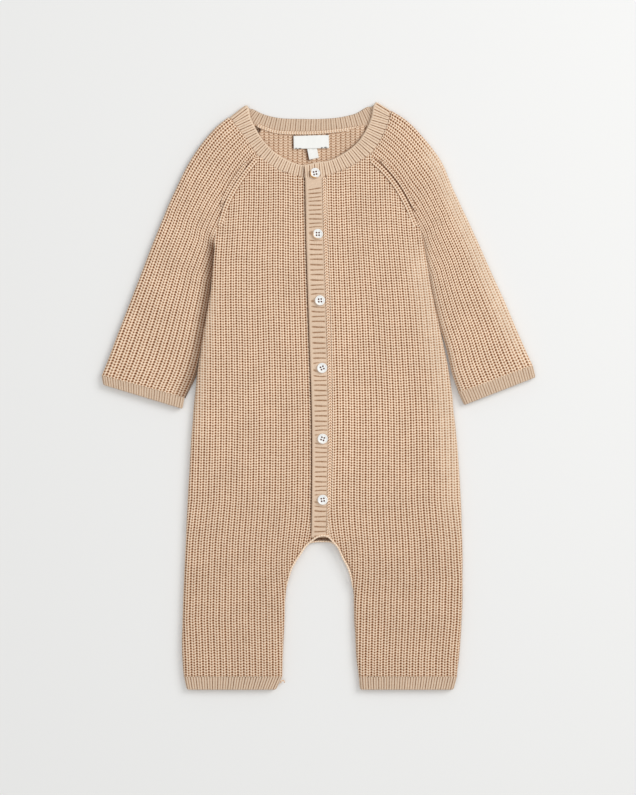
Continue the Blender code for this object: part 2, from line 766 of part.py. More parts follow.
def button_mesh():
    """A turned button with a rim and a dished face, with four sewing holes cut through it."""
    half_rim = (BUTTON_RADIUS - BUTTON_DISH_RADIUS) / 2
    profile = (
        (0.0, BUTTON_THICKNESS - BUTTON_DISH_DEPTH),
        (BUTTON_DISH_RADIUS - half_rim, BUTTON_THICKNESS - BUTTON_DISH_DEPTH),
        (BUTTON_DISH_RADIUS, BUTTON_THICKNESS),
        (BUTTON_RADIUS - half_rim / 2, BUTTON_THICKNESS),
        (BUTTON_RADIUS, BUTTON_THICKNESS * BUTTON_EDGE),
        (BUTTON_RADIUS - half_rim / 2, 0.0),
        (0.0, 0.0),
    )
    turned = bmesh.new()
    vertices = [turned.verts.new((x * MM, 0, z * MM)) for x, z in profile]
    edges = [turned.edges.new(pair) for pair in zip(vertices, vertices[1:])]
    bmesh.ops.spin(
        turned,
        geom=vertices + edges,
        axis=(0, 0, 1),
        cent=(0, 0, 0),
        angle=2 * math.pi,
        steps=BUTTON_SIDES,
        use_merge=True,
    )
    bmesh.ops.remove_doubles(turned, verts=turned.verts, dist=WELD * MM)
    bmesh.ops.recalc_face_normals(turned, faces=turned.faces)
    mesh = bpy.data.meshes.new("turned_button")
    turned.to_mesh(mesh)
    turned.free()
    blank = bpy.data.objects.new("turned_button", mesh)
    holes = add_hole_cutter()
    for item in (blank, holes):
        item.hide_render = True
        item.display_type = "WIRE"
        bpy.data.collections[CUTTERS].objects.link(item)
    cut = blank.modifiers.new("holes", "BOOLEAN")
    cut.object = holes
    cut.operation = "DIFFERENCE"
    graph = bpy.context.evaluated_depsgraph_get()
    drilled = bpy.data.meshes.new_from_object(blank.evaluated_get(graph))
    drilled.name = "button"
    return drilled


def add_hole_cutter():
    cutter = bmesh.new()
    for corner in range(4):
        angle = math.radians(45 + 90 * corner)
        offset = BUTTON_HOLE_OFFSET * math.sqrt(2) * MM
        hole = bmesh.ops.create_cone(
            cutter,
            cap_ends=True,
            segments=BUTTON_HOLE_SIDES,
            radius1=BUTTON_HOLE_RADIUS * MM,
            radius2=BUTTON_HOLE_RADIUS * MM,
            depth=3 * BUTTON_THICKNESS * MM,
        )
        place = Vector((offset * math.cos(angle), offset * math.sin(angle), 0))
        bmesh.ops.translate(cutter, verts=hole["verts"], vec=place)
    mesh = bpy.data.meshes.new("button_holes")
    cutter.to_mesh(mesh)
    cutter.free()
    return bpy.data.objects.new("button_holes", mesh)


def add_buttons():
    mesh = button_mesh()
    for number, (x, y) in enumerate(BUTTONS, 1):
        top = FRONT_LEVEL + upper_band_step(y) + CLOTH / 2
        button = add_object(f"button_{number}", mesh.copy(), SHELL)
        button.location = Vector((x, y, top + SEAM_GAP)) * MM


def add_label(name, centre, size, turn, height):
    """A flat woven label lying on the inside of the back."""
    label = bmesh.new()
    bmesh.ops.create_cube(label, size=1.0)
    bmesh.ops.scale(label, vec=Vector(size) * MM, verts=label.verts)
    mesh = bpy.data.meshes.new(name)
    label.to_mesh(mesh)
    label.free()
    piece = add_object(name, mesh, WOVEN)
    piece.location = Vector((*centre, height + size[2] / 2)) * MM
    piece.rotation_euler = (0, 0, math.radians(turn))
    return piece


def add_labels():
    inside = BACK_LEVEL + CLOTH / 2 + SEAM_GAP
    add_label("size_tab", SIZE_TAB_CENTRE, SIZE_TAB_SIZE, SIZE_TAB_TURN, inside)
    above_tab = inside + SIZE_TAB_SIZE[2] + SEAM_GAP
    add_label("neck_label", LABEL_CENTRE, LABEL_SIZE, LABEL_TURN, above_tab)


def main():
    clear_scene()
    new_collection(ROMPER)
    new_collection(CUTTERS)
    seams = neck_seams()
    add_back("back", seams["back"])
    add_front("front_right", "right", seams["right"])
    add_front("front_left", "left", seams["left"])
    add_bands()
    for side, table, way, shoulder in (
        ("right", RIGHT_SLEEVE, 1, RIGHT_SHOULDER),
        ("left", LEFT_SLEEVE, -1, LEFT_SHOULDER),
    ):
        add_sleeve(f"sleeve_{side}", table, way, shoulder, seams[side], seams["back"])
    add_neckband("neckband")
    for side, table, end in (
        ("right", RIGHT_SLEEVE, RIGHT_CUFF_END),
        ("left", LEFT_SLEEVE, LEFT_CUFF_END),
    ):
        last = table[-1]
        add_ring(
            f"cuff_{side}", (last.front_x, last.front_y), (last.outer_x, last.outer_y), end
        )
    for side, end in (("right", RIGHT_HEM_END), ("left", LEFT_HEM_END)):
        inner = (getattr(INNER_LEG[-1], side), HEM_TOP_Y)
        outer = (getattr(FRONT_OUTER[-1], side), HEM_TOP_Y)
        add_ring(f"hem_{side}", inner, outer, end)
    add_labels()
    add_buttons()


main()
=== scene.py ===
# Baby romper in rib knit, laid flat and seen from straight above.
# Lengths in the tables are millimetres; meshes are made in metres.

import math
from functools import partial, reduce

import bmesh
import bpy
import numpy as np
from mathutils import Matrix, Vector


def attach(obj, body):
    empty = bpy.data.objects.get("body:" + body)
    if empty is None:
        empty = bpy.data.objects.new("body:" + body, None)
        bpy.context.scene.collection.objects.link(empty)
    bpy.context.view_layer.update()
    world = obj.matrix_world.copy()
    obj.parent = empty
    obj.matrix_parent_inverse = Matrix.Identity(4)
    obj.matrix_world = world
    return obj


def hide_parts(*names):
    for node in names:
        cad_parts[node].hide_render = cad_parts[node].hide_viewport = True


mm = 0.001
farAway = 99.0

print("loading the frame")
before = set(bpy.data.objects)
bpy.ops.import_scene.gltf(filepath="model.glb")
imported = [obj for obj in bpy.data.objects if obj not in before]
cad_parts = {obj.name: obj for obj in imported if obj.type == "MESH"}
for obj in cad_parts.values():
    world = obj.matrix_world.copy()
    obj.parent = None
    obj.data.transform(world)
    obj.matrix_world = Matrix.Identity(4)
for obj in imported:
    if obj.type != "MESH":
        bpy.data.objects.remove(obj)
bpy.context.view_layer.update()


# Cloth levels and the gauge of the knit
cloth = {
    "top": 6.4,  # outside of the front
    "under": 0.55,  # outside of the back, before its ribs
    "fold": 3.2,  # radius of the outside round a fold
    "seamRound": 0.5,  # radius of an edge at a seam
    "rimRound": 0.35,  # radius of an edge at a cuff or hem
    "seamLap": 0.4,  # how far two pieces meet over their seam
    "thickness": 2.1,
    "crown": 0.9,  # how much higher the front lies away from its folds
    "crownReach": 14.0,
    "bandStep": 2.8,
    "bandStepAtCrotch": 2.2,
    "riseRun": 28.0,
    "crotchY": -130.2,
    "pressedLength": 30.0,
}

rib = {
    "row": 2.47,
    "chevron": 0.28,  # rows by which a stitch's arms rise from its middle, and the same in the legs
    "chevronLow": 0.46,
    "crest": 0.55,
    "crease": 0.45,
    "gap": 1.05,
    "middle": 0.6,
    "acrossWale": 6,
    "alongRow": 3,
}


# Lines and edges


def smoothPath(points, count, places=2):
    # evenly spaced along a smooth curve through the points' first columns, the rest change evenly
    points = np.asarray(points, float)
    at = points[:, :places]
    spans = np.linalg.norm(np.diff(at, axis=0), axis=1)
    slopes = np.diff(at, axis=0) / spans[:, None]
    before, after = spans[:-1, None], spans[1:, None]
    inner = (slopes[:-1] * after + slopes[1:] * before) / (before + after)
    tangents = np.vstack([slopes[:1], inner, slopes[-1:]])
    fine = []
    for index, span in enumerate(spans):
        for t in np.linspace(0, 1, 16, endpoint=False):
            place = (
                (2 * t**3 - 3 * t**2 + 1) * at[index]
                + (t**3 - 2 * t**2 + t) * span * tangents[index]
                + (3 * t**2 - 2 * t**3) * at[index + 1]
                + (t**3 - t**2) * span * tangents[index + 1]
            )
            fine.append((*place, *(points[index, places:] * (1 - t) + points[index + 1, places:] * t)))
    fine.append(points[-1])
    fine = np.array(fine)
    steps = np.linalg.norm(np.diff(fine[:, :places], axis=0), axis=1)
    travelled = np.concatenate([[0.0], np.cumsum(steps)])
    wanted = np.linspace(0, travelled[-1], count)
    return np.column_stack([np.interp(wanted, travelled, column) for column in fine.T])


def fallingLine(points):
    # a line that falls from the neck to the hems, to be read at any level
    line = smoothPath(points, 600)[::-1]
    slope = np.gradient(line[:, 0]) / np.maximum(np.gradient(line[:, 1]), 1e-6)
    return line[:, 1], line[:, 0], np.clip(slope, -2.5, 2.5)


def readLine(line, y):
    return np.interp(y, line[0], line[1])


def ease(value):
    value = np.clip(value, 0, 1)
    return value * value * (3 - 2 * value)


def rollOver(distance, radius):
    # how far in and how far down the cloth lies, at a distance round from its edge
    angle = np.minimum(distance / radius, math.pi / 2)
    past = np.maximum(distance - radius * math.pi / 2, 0)
    inset = radius * (1 - np.cos(angle)) + past
    return inset, radius * (1 - np.sin(angle)), np.cos(angle)


def roundLength(radius):
    return radius * (math.pi / 2 - 1)


def unit(vectors):
    return vectors / np.linalg.norm(vectors, axis=-1, keepdims=True)


def facing(level, faces, way=1):
    # which way the cloth faces, from its level part and how far it turns down at its two edges
    up = way * np.sqrt(np.maximum((1 - faces[0] ** 2) * (1 - faces[1] ** 2), 1e-4))
    return unit(np.concatenate([level, up[..., None]], axis=-1))


def crownAt(toEdge):
    return cloth["crown"] * (1 - np.exp(-toEdge / cloth["crownReach"]))


def readEdge(line, y, radius):
    # X of an edge, and its roll's radius, its lean and its slope
    slope = np.interp(y, line[0], line[2])
    return readLine(line, y), (radius, 1 / np.hypot(1, slope), slope)


def moreAt(edge):
    # how much longer the cloth is than it looks, for rolling down at this edge
    return roundLength(edge[0]) / edge[1]


def rollBetween(way, q, lowest, highest, outer, inner, open=True):
    # cloth rolled down at its outer edge, and at its inner one where that is open
    toOuter, toInner = (highest - q) * outer[1], np.where(open, (q - lowest) * inner[1], farAway)
    outerInset, outerDrop, outerFace = rollOver(toOuter, outer[0])
    innerInset, innerDrop, innerFace = rollOver(toInner, inner[0])
    plan = q - (roundLength(outer[0]) + outerInset - toOuter) / outer[1]
    plan = plan + (roundLength(inner[0]) + innerInset - toInner) / inner[1]
    outerPart, innerPart = outerFace * outer[1], innerFace * inner[1]
    level = way * np.stack([outerPart - innerPart, innerPart * inner[2] - outerPart * outer[2]], axis=-1)
    return plan, outerDrop + innerDrop, (toOuter, toInner), level, (outerFace, innerFace)


# Stitches


def fromMiddle(u):
    # 0 on the middle of a wale, 1 in the gap beside it
    return np.abs(u % 1 - 0.5) * 2


def stitchHeight(u, v, look=rib):
    a = fromMiddle(u)
    between = (0.5 + 0.5 * np.cos(2 * math.pi * v)) ** 1.5
    gap = ease((a - 0.5) / 0.5) * (0.55 + 0.45 * between)
    middle = ease(1 - a / 0.45) * (0.3 + 0.7 * between)
    return look["crest"] * (1 - look["crease"] * between) - look["gap"] * gap - look["middle"] * middle


# Meshes


def gridMesh(name, places, knit, second=None):
    # a grid whose rows and columns go through the given places; its maps hold the knit,
    # how strongly it shows and how much painted shade lies on it
    rows, columns = places.shape[:2]
    grid = bmesh.new()
    bmesh.ops.create_grid(grid, x_segments=columns - 1, y_segments=rows - 1, size=0.5, calc_uvs=True)
    mesh = bpy.data.meshes.new(name)
    grid.to_mesh(mesh)
    grid.free()
    flat = np.empty(len(mesh.vertices) * 3)
    mesh.vertices.foreach_get("co", flat)
    flat = flat.reshape(-1, 3)
    column = np.rint((flat[:, 0] + 0.5) * (columns - 1)).astype(int)
    row = np.rint((0.5 - flat[:, 1]) * (rows - 1)).astype(int)
    mesh.vertices.foreach_set("co", (places[row, column] * mm).ravel())
    corner = np.empty(len(mesh.loops), dtype=np.int32)
    mesh.loops.foreach_get("vertex_index", corner)
    while mesh.uv_layers:
        mesh.uv_layers.remove(mesh.uv_layers[0])
    if second:
        # the faces from this column on have the piece's second material
        late = (column[corner].reshape(-1, 4) >= second).all(axis=1)
        mesh.polygons.foreach_set("material_index", late.astype(np.int32))
    for layerName, part in (("knit", knit[..., :2]), ("wear", knit[..., 2:])):
        layer = mesh.uv_layers.new(name=layerName)
        layer.uv.foreach_set("vector", part[row[corner], column[corner]].ravel())
    return mesh


def dropFaces(mesh, indices):
    work = bmesh.new()
    work.from_mesh(mesh)
    work.faces.ensure_lookup_table()
    bmesh.ops.delete(work, geom=[work.faces[index] for index in indices], context="FACES")
    work.to_mesh(mesh)
    work.free()


def closeMesh(mesh):
    # welds what lies together, fills the open ends and turns every face outwards
    work = bmesh.new()
    work.from_mesh(mesh)
    bmesh.ops.remove_doubles(work, verts=work.verts, dist=0.02 * mm)
    bmesh.ops.dissolve_degenerate(work, edges=work.edges, dist=0.005 * mm)
    bmesh.ops.delete(work, geom=[edge for edge in work.edges if edge.is_wire], context="EDGES")
    bmesh.ops.holes_fill(work, edges=[edge for edge in work.edges if edge.is_boundary], sides=0)
    bmesh.ops.recalc_face_normals(work, faces=work.faces)
    if work.calc_volume(signed=True) < 0:
        bmesh.ops.reverse_faces(work, faces=work.faces)
    work.to_mesh(mesh)
    work.free()
    mesh.shade_smooth()


def addPiece(name, mesh, material, nodes=()):
    piece = bpy.data.objects.new(name, mesh)
    bpy.context.scene.collection.objects.link(piece)
    mesh.materials.append(material)
    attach(piece, "root")
    if nodes:
        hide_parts(*nodes)
    return piece


def stitchMap(u, v, strength=1.0, shade=1.0):
    return np.stack(np.broadcast_arrays(u, v, strength, shade), axis=-1)


def lifted(places, normals, height):
    return places + normals * height[..., None]


def every(step, columns):
    # columns of a plainer inside, in the order that follows on from the outside
    return list(range(columns - 1, 0, -step)) + [0]


def closeRound(outside, outsideKnit, inside, insideKnit):
    # outside, inside and the outside's first column again, so that the cloth has two faces
    places = np.concatenate([outside, inside, outside[:, :1]], axis=1)
    knit = np.concatenate([outsideKnit, insideKnit, outsideKnit[:, :1]], axis=1)
    return places, knit


# Materials


def nodeIn(tree, kind, links=(), **values):
    node = tree.nodes.new(kind)
    for key, value in values.items():
        setattr(node, key, value)
    for socket, source in dict(links).items():
        if isinstance(source, (int, float, tuple)):
            node.inputs[socket].default_value = source
        else:
            tree.links.new(source, node.inputs[socket])
    return node


def mathIn(tree, operation, *sources, clamp=False):
    node = nodeIn(tree, "ShaderNodeMath", dict(enumerate(sources)), operation=operation, use_clamp=clamp)
    return node.outputs[0]


def rangeIn(tree, value, low, high, toLow=0.0, toHigh=1.0):
    node = nodeIn(
        tree,
        "ShaderNodeMapRange",
        {"Value": value, "From Min": low, "From Max": high, "To Min": toLow, "To Max": toHigh},
        interpolation_type="SMOOTHSTEP",
    )
    return node.outputs["Result"]


def mixIn(tree, factor, first, second):
    return nodeIn(tree, "ShaderNodeMix", {0: factor, 6: first, 7: second}, data_type="RGBA").outputs[2]


def productIn(tree, *values):
    return reduce(lambda first, second: mathIn(tree, "MULTIPLY", first, second), values)


def noiseIn(tree, place, scale, detail, distortion=0.0):
    sockets = {"Vector": place.outputs["Object"], "Scale": scale}
    sockets.update({"Detail": detail, "Distortion": distortion})
    return nodeIn(tree, "ShaderNodeTexNoise", sockets).outputs[0]


def bumpIn(tree, height, strength, distance):
    sockets = {"Height": height, "Strength": strength, "Distance": distance}
    return nodeIn(tree, "ShaderNodeBump", sockets).outputs[0]


def newGroup(name, inputs, outputs):
    group = bpy.data.node_groups.new(name, "ShaderNodeTree")
    for label, kind, value in inputs:
        socket = group.interface.new_socket(label, in_out="INPUT", socket_type=kind)
        if value is not None:
            socket.default_value = value
    for label, kind in outputs:
        group.interface.new_socket(label, in_out="OUTPUT", socket_type=kind)
    return group, group.nodes.new("NodeGroupInput"), group.nodes.new("NodeGroupOutput")


def yarnStitches():
    # one stitch for each whole number of the knit map: two arms, the gap beside them, the dip between
    light, yarn, dark = (0.80, 0.62, 0.46, 1), (0.62, 0.42, 0.28, 1), (0.30, 0.13, 0.06, 1)
    colours = [("Light", light), ("Yarn", yarn), ("Dark", dark)]
    values = [("Gap", 1.0), ("Gap From", 0.45), ("Middle", 0.7), ("Crease", 0.4), ("Dots", 0.5)]
    group, given, out = newGroup(
        "yarnStitches",
        [("Knit", "NodeSocketVector", None)]
        + [(name, "NodeSocketColor", value) for name, value in colours]
        + [(name, "NodeSocketFloat", value) for name, value in values]
        + [("MaskAndPaintedShade", "NodeSocketVector", None)],
        [("Colour", "NodeSocketColor"), ("Height", "NodeSocketFloat")],
    )
    do, product, span, mix = (partial(make, group) for make in (mathIn, productIn, rangeIn, mixIn))
    split = nodeIn(group, "ShaderNodeSeparateXYZ", {0: given.outputs["Knit"]})
    u, v = split.outputs[0], split.outputs[1]
    a = product(do("ABSOLUTE", do("SUBTRACT", do("FRACT", u), 0.5)), 2.0)
    between = do("POWER", do("MULTIPLY_ADD", do("COSINE", product(v, 2 * math.pi)), 0.5, 0.5), 1.3)
    dots = given.outputs["Dots"]
    dotted = do("MULTIPLY_ADD", between, dots, do("SUBTRACT", 1.0, dots))
    gap = product(span(a, given.outputs["Gap From"], 1.0), dotted, given.outputs["Gap"])
    middle = product(span(a, 0.5, 0.0), dotted, given.outputs["Middle"])
    crease = product(between, given.outputs["Crease"])
    wear = nodeIn(group, "ShaderNodeSeparateXYZ", {0: given.outputs["MaskAndPaintedShade"]})
    place = nodeIn(group, "ShaderNodeTexCoord")
    uneven, cloud, fleck = (
        noiseIn(group, place, *look) for look in ((380.0, 1.0), (45.0, 3.0), (900.0, 2.0))
    )
    depth = do("ADD", do("ADD", gap, middle), crease)
    depth = product(depth, span(uneven, 0.3, 0.7, 0.88, 1.12))
    depth = do("MULTIPLY", depth, wear.outputs[0], clamp=True)
    # two plies twisted together along each arm
    lean = do("MULTIPLY_ADD", a, 2.0, product(v, 4.0))
    ply = do("MULTIPLY_ADD", do("SINE", product(lean, 2 * math.pi)), 0.5, 0.5)
    # painted highlight and painted shade: the crowns take the Light colour, the gaps and creases the Dark one,
    # and the twist of the plies a little painted shade
    yarn = mix(span(depth, 0.0, 0.5), given.outputs["Light"], given.outputs["Yarn"])
    yarn = mix(product(ply, 0.12), yarn, given.outputs["Yarn"])
    colour = mix(span(depth, 0.45, 1.0), yarn, given.outputs["Dark"])
    # the second part of this map is painted shade: it sinks the colour towards dark brown where shadow falls
    shaded = mix(wear.outputs[1], (0.09, 0.035, 0.015, 1), colour)
    shade = do("ADD", span(cloud, 0.3, 0.7, 0.965, 1.03), span(fleck, 0.3, 0.7, -0.06, 0.06))
    lit = nodeIn(group, "ShaderNodeVectorMath", {0: shaded, "Scale": shade}, operation="SCALE")
    height = do("MULTIPLY_ADD", ply, 0.2, product(depth, -1.5))
    height = do("MULTIPLY_ADD", fleck, 0.4, height)
    group.links.new(lit.outputs[0], out.inputs["Colour"])
    group.links.new(height, out.inputs["Height"])
    return group


def newMaterial(name, **values):
    # a material with these values on its shader; underscores stand for spaces
    material = bpy.data.materials.new(name)
    material.use_nodes = True
    shader = material.node_tree.nodes["Principled BSDF"]
    for socket, value in values.items():
        shader.inputs[socket.replace("_", " ")].default_value = value
    return material, material.node_tree, shader


def knitMaterial(name, look):
    sheen = {"Sheen_Weight": 0.06, "Sheen_Roughness": 0.5, "Sheen_Tint": (0.72, 0.45, 0.28, 1)}
    material, tree, shader = newMaterial(name, Roughness=0.9, Specular_IOR_Level=0.06, **sheen)
    knit = nodeIn(tree, "ShaderNodeUVMap", uv_map="knit")
    stitches = nodeIn(tree, "ShaderNodeGroup", node_tree=stitchGroup)
    wear = nodeIn(tree, "ShaderNodeUVMap", uv_map="wear")
    tree.links.new(knit.outputs[0], stitches.inputs["Knit"])
    tree.links.new(wear.outputs[0], stitches.inputs["MaskAndPaintedShade"])
    for socket, value in zip(stitchValues, look):
        stitches.inputs[socket].default_value = (*value, 1) if isinstance(value, tuple) else value
    strength, depth = look[-2:]
    tree.links.new(stitches.outputs["Colour"], shader.inputs["Base Color"])
    tree.links.new(bumpIn(tree, stitches.outputs["Height"], strength, depth), shader.inputs["Normal"])
    return material


print("mixing the yarn and the other finishes")
stitchGroup = yarnStitches()
# these values of each knit, then how strong and how deep its bump is
stitchValues = ("Light", "Yarn", "Dark", "Gap", "Gap From", "Middle", "Crease", "Dots")
# in each knit, Light is the painted highlight on the stitch crowns and Dark the painted shade in gaps and
# creases
knits = {
    "beigeRibKnit": (
        *((1.0, 0.835, 0.655), (0.63, 0.375, 0.22), (0.15, 0.044, 0.015)),
        *(1.14, 0.45, 0.86, 0.2, 0.66, 0.5, 0.0006),
    ),
    "beigeFineRib": (
        *((0.80, 0.63, 0.475), (0.52, 0.33, 0.21), (0.20, 0.085, 0.04)),
        *(1.0, 0.45, 0.0, 0.06, 0.0, 0.5, 0.0004),
    ),
    "beigeBandRib": (
        *((0.74, 0.565, 0.42), (0.50, 0.33, 0.215), (0.24, 0.105, 0.05)),
        *(0.95, 0.52, 0.0, 0.05, 0.0, 0.4, 0.0003),
    ),
    "beigeInside": (
        *((0.84, 0.65, 0.485), (0.52, 0.325, 0.205), (0.22, 0.10, 0.05)),
        *(0.55, 0.45, 0.12, 0.42, 0.3, 0.4, 0.0004),
    ),
    "beigeChain": (
        *((1.0, 0.83, 0.655), (0.68, 0.44, 0.28), (0.28, 0.11, 0.05)),
        *(0.35, 0.45, 0.4, 0.55, 0.4, 0.4, 0.0004),
    ),
}
bodyKnit, fineKnit, bandKnit, insideKnit, chainKnit = (knitMaterial(*entry) for entry in knits.items())


# Body

body = {
    # the button bands' edges, from the neck down: Y, free edge, seam
    "bands": [
        (199.5, -12.2, 7.0), (138.0, -11.0, 8.5), (60.0, -8.5, 11.0), (-22.0, -6.0, 12.5),
        (-93.0, -6.0, 11.5), (-129.5, -6.5, 11.0),
    ],
    "underBandInset": 2.0,
    # raglan and side seam: Y, right, left
    "outer": [
        (222.5, -56.5, 47.5), (209.5, -67.0, 62.0), (196.0, -76.5, 73.0), (178.0, -86.0, 83.5),
        (158.0, -92.5, 92.0), (144.0, -95.0, 96.0), (130.0, -96.5, 99.0), (98.0, -99.5, 104.5),
        (60.0, -106.0, 112.5), (20.0, -111.5, 120.5), (-22.0, -115.5, 125.5),
        (-77.0, -119.0, 130.0), (-137.0, -122.0, 132.3), (-196.0, -124.5, 132.3),
        (-240.0, -125.0, 129.3), (-258.0, -123.5, 127.5),
    ],
    "backOuter": [
        (248.5, -52.5, 42.5), (231.0, -61.5, 55.0), (213.5, -71.0, 67.5), (191.0, -81.0, 79.5),
        (163.0, -91.0, 91.0),
    ],
    "neckRight": [(222.5, -56.0), (217.8, -50.2), (207.5, -34.0), (202.0, -14.5)],
    "neckLeft": [(222.5, 47.0), (212.3, 30.5), (204.5, 12.0), (202.8, 7.4)],
    "innerLeg": [
        (-131.5, -7.0, 13.0), (-139.5, -13.0, 18.5), (-149.5, -20.0, 24.5), (-158.5, -24.5, 29.5),
        (-173.0, -29.0, 32.0), (-205.5, -31.5, 33.5), (-240.0, -33.0, 35.5),
        (-258.0, -33.5, 37.5),
    ],
    # width of a wale: Y, right half, left half
    "wale": [
        (223.0, 4.40, 4.45), (181.0, 4.48, 4.52), (153.0, 4.62, 4.58), (126.0, 4.78, 4.70),
        (89.0, 4.88, 4.88), (43.0, 4.92, 5.02), (-3.0, 5.00, 5.14), (-49.0, 5.06, 5.22),
        (-95.0, 5.12, 5.30), (-132.0, 5.28, 5.50), (-168.0, 5.36, 5.60), (-205.0, 5.42, 5.55),
        (-242.0, 5.35, 5.40), (-258.0, 5.33, 5.38),
    ],
    "hem": -258.0,
    "top": 222.5,
    "wales": 23,
    # how the wales nearest the bands swing out at the crotch
    "flare": 6.5,
    "flareAt": -152.0,
    "flareLength": 30.0,
    "flareWales": 5.0,
    # the faint strip at the side, with weaker painted shade in its gaps: width, least strength,
    # painted shade by, from Y to Y, fading out over
    "faintStrip": {
        "right": (12.0, 0.66, 0.2, 115, -60, 60),
        "left": (23.0, 0.62, 0.12, 150, -190, 150),
    },
}


def column(table, index):
    return [(row[index], row[0]) for row in table]


def bandLine(index):
    return fallingLine(column(body["bands"], index))


freeLine, seamLine = bandLine(1), bandLine(2)


def atCrotch(y):
    return ease(1 - (y - cloth["crotchY"]) / cloth["pressedLength"])


def bandStep(y):
    return cloth["bandStep"] + (cloth["bandStepAtCrotch"] - cloth["bandStep"]) * atCrotch(y)


def besideBands(y):
    return 1 - ease((cloth["crotchY"] + 2 - y) / 14)


def riseToBand(x, y):
    near = ease(1 - (x - readLine(seamLine, y)) / cloth["riseRun"])
    return bandStep(y) * near * besideBands(y)


def frontSides(side):
    # a front's inner and outer line, the line its wales are counted from, and their width
    index = 1 if side == "right" else 2
    inset = body["underBandInset"] if side == "right" else 0.0
    bands = [(row[index] + inset, row[0]) for row in body["bands"]]
    neck = column(body["neckRight" if side == "right" else "neckLeft"], 1)
    legs = column(body["innerLeg"], index)
    return {
        "way": -1 if side == "right" else 1,
        "inner": fallingLine(neck + bands + legs),
        "outer": fallingLine(column(body["outer"], index)),
        "origin": fallingLine([(bands[0][0], 230.0)] + bands + [(bands[-1][0], -259.0)]),
        "wale": np.array([(row[0], row[index]) for row in body["wale"]])[::-1].T,
    }


def frontPlaces(lines, u, v):
    # where a point of the knit lies, and which way the cloth faces there
    way = lines["way"]
    y = body["top"] - v * rib["row"]
    wale = np.interp(y, lines["wale"][0], lines["wale"][1])
    origin = readLine(lines["origin"], y)
    flare = body["flare"] * np.exp(-(((y - body["flareAt"]) / body["flareLength"]) ** 2))
    q = u * wale + flare * np.exp(-u / body["flareWales"])
    seamRound, fold = cloth["seamRound"], cloth["fold"]
    outerX, outer = readEdge(lines["outer"], y, seamRound + (fold - seamRound) * ease((146 - y) / 12))
    innerX, inner = readEdge(lines["inner"], y, seamRound + (fold - seamRound) * ease((-129 - y) / 8))
    highest = way * (outerX - origin) + moreAt(outer) + cloth["seamLap"] * (y > 140)
    lowest = np.minimum(way * (innerX - origin) - moreAt(inner), highest)
    q = np.clip(q, lowest, highest)
    plan, drop, (toOuter, toInner), level, faces = rollBetween(way, q, lowest, highest, outer, inner)
    x = origin + way * plan
    crown = crownAt(np.minimum(toOuter, toInner + 30 * (y > -129)))
    z = cloth["top"] + crown - drop - rollOver(y - body["hem"], cloth["rimRound"])[1]
    if way > 0:
        z = z + riseToBand(x, y)
    else:
        z = z - 0.9 * ease((x - readLine(freeLine, y) + 1.5) / 1.0) * besideBands(y)
    limits = []
    for limit in (lowest, highest):
        atLimit = limit / wale
        for step in range(8):
            atLimit = (limit - flare * np.exp(-atLimit / body["flareWales"])) / wale
        limits.append(atLimit)
    return np.stack([x, y, z], axis=-1), facing(level, faces), *limits


def knitRows(top, bottom, perRow):
    rows = (top - bottom) / rib["row"]
    return np.linspace(0, rows, int(round(rows * perRow)) + 1)


def placeKnit(place, u, v, rows, chevron=None):
    # cuts the knit at its piece's edges, gives the stitches their V and lets the rows waver a little
    if chevron is None:
        chevron = rib["chevron"] + (rib["chevronLow"] - rib["chevron"]) * ease((v - 105) / 60)
    lowest, highest = place(u, v)[2:]
    inU = np.clip(u, lowest, highest)
    waver = 0.22 * np.sin(0.37 * inU + 0.023 * v + 1.3) + 0.15 * np.sin(0.91 * inU - 0.031 * v)
    waver = waver * ease(v / 6) * ease((rows[-1] - v) / 6)
    inV = np.clip(v + waver - chevron * fromMiddle(inU), rows[0], rows[-1])
    places, normals = place(inU, inV)[:2]
    return places, normals, inU


def makeKnit(node, place, wear, wales, rows, insideStep, chevron=None):
    # a piece of body knit with two faces, the inside plain and coarser
    u, v = np.meshgrid(wales, rows)
    places, normals, inU = placeKnit(place, u, v, rows, chevron)
    strength, shade = wear(places, v)
    knit = stitchMap(inU, v, strength, shade)
    outside = lifted(places, normals, stitchHeight(inU, v) * (0.45 + 0.55 * strength))
    inside = every(insideStep, u.shape[1])
    under = (places - normals * cloth["thickness"])[:, inside]
    mesh = gridMesh(f"{node}_knit", *closeRound(outside, knit, under, knit[:, inside]))
    closeMesh(mesh)
    return addPiece(f"{node}_knit", mesh, bodyKnit, [node])


def frontStrengthAndPaintedShade(side, places, lines):
    # the painted shade in the knit's gaps is weaker where the cloth turns down at the side, and painted
    # shade dulls that strip; painted shade also darkens the legs and lies under the band's free edge
    x, y = places[..., 0], places[..., 1]
    toSide = np.abs(readLine(lines["outer"], y) - x)
    width, least, dull, upper, lower, fade = body["faintStrip"][side]
    along = ease((upper - y) / 30) * ease((y - lower) / fade)
    strip = along * ease(1.25 - toSide / width)
    strength = 1 - (1 - least) * strip
    # painted shade: darker down the legs, and on the side strip
    shade = (1 - 0.10 * ease((-20 - y) / 170)) * (1 - dull * strip)
    if side == "right":
        under = x - readLine(freeLine, y)
        ragged = 0.4 * np.sin(2.5 * y) + 0.25 * np.sin(1.1 * y + 1)
        # painted shadow under the band's free edge, with a ragged line
        shade = shade * (1 - ease((under + 1.6 + ragged) / 0.8) * ease((y + 128) / 14) * 0.8)
    return strength, shade


def makeFront(side):
    lines = frontSides(side)
    rows = knitRows(body["top"], body["hem"], rib["alongRow"])
    wales = np.linspace(-2, body["wales"], (body["wales"] + 2) * rib["acrossWale"] + 1)
    wear = lambda places, v: frontStrengthAndPaintedShade(side, places, lines)
    return makeKnit(f"front_{side}", lambda a, b: frontPlaces(lines, a, b), wear, wales, rows, 12)


print("knitting the fronts")
frontRight, frontLeft = makeFront("right"), makeFront("left")


def backLines(side):
    index = 1 if side == "right" else 2
    return {
        "way": -1 if side == "right" else 1,
        "inner": fallingLine(column(body["innerLeg"], index)),
        "outer": fallingLine(column(body["backOuter"] + body["outer"][5:], index)),
        "wale": np.array([(row[0], row[index]) for row in body["wale"]])[::-1].T,
    }


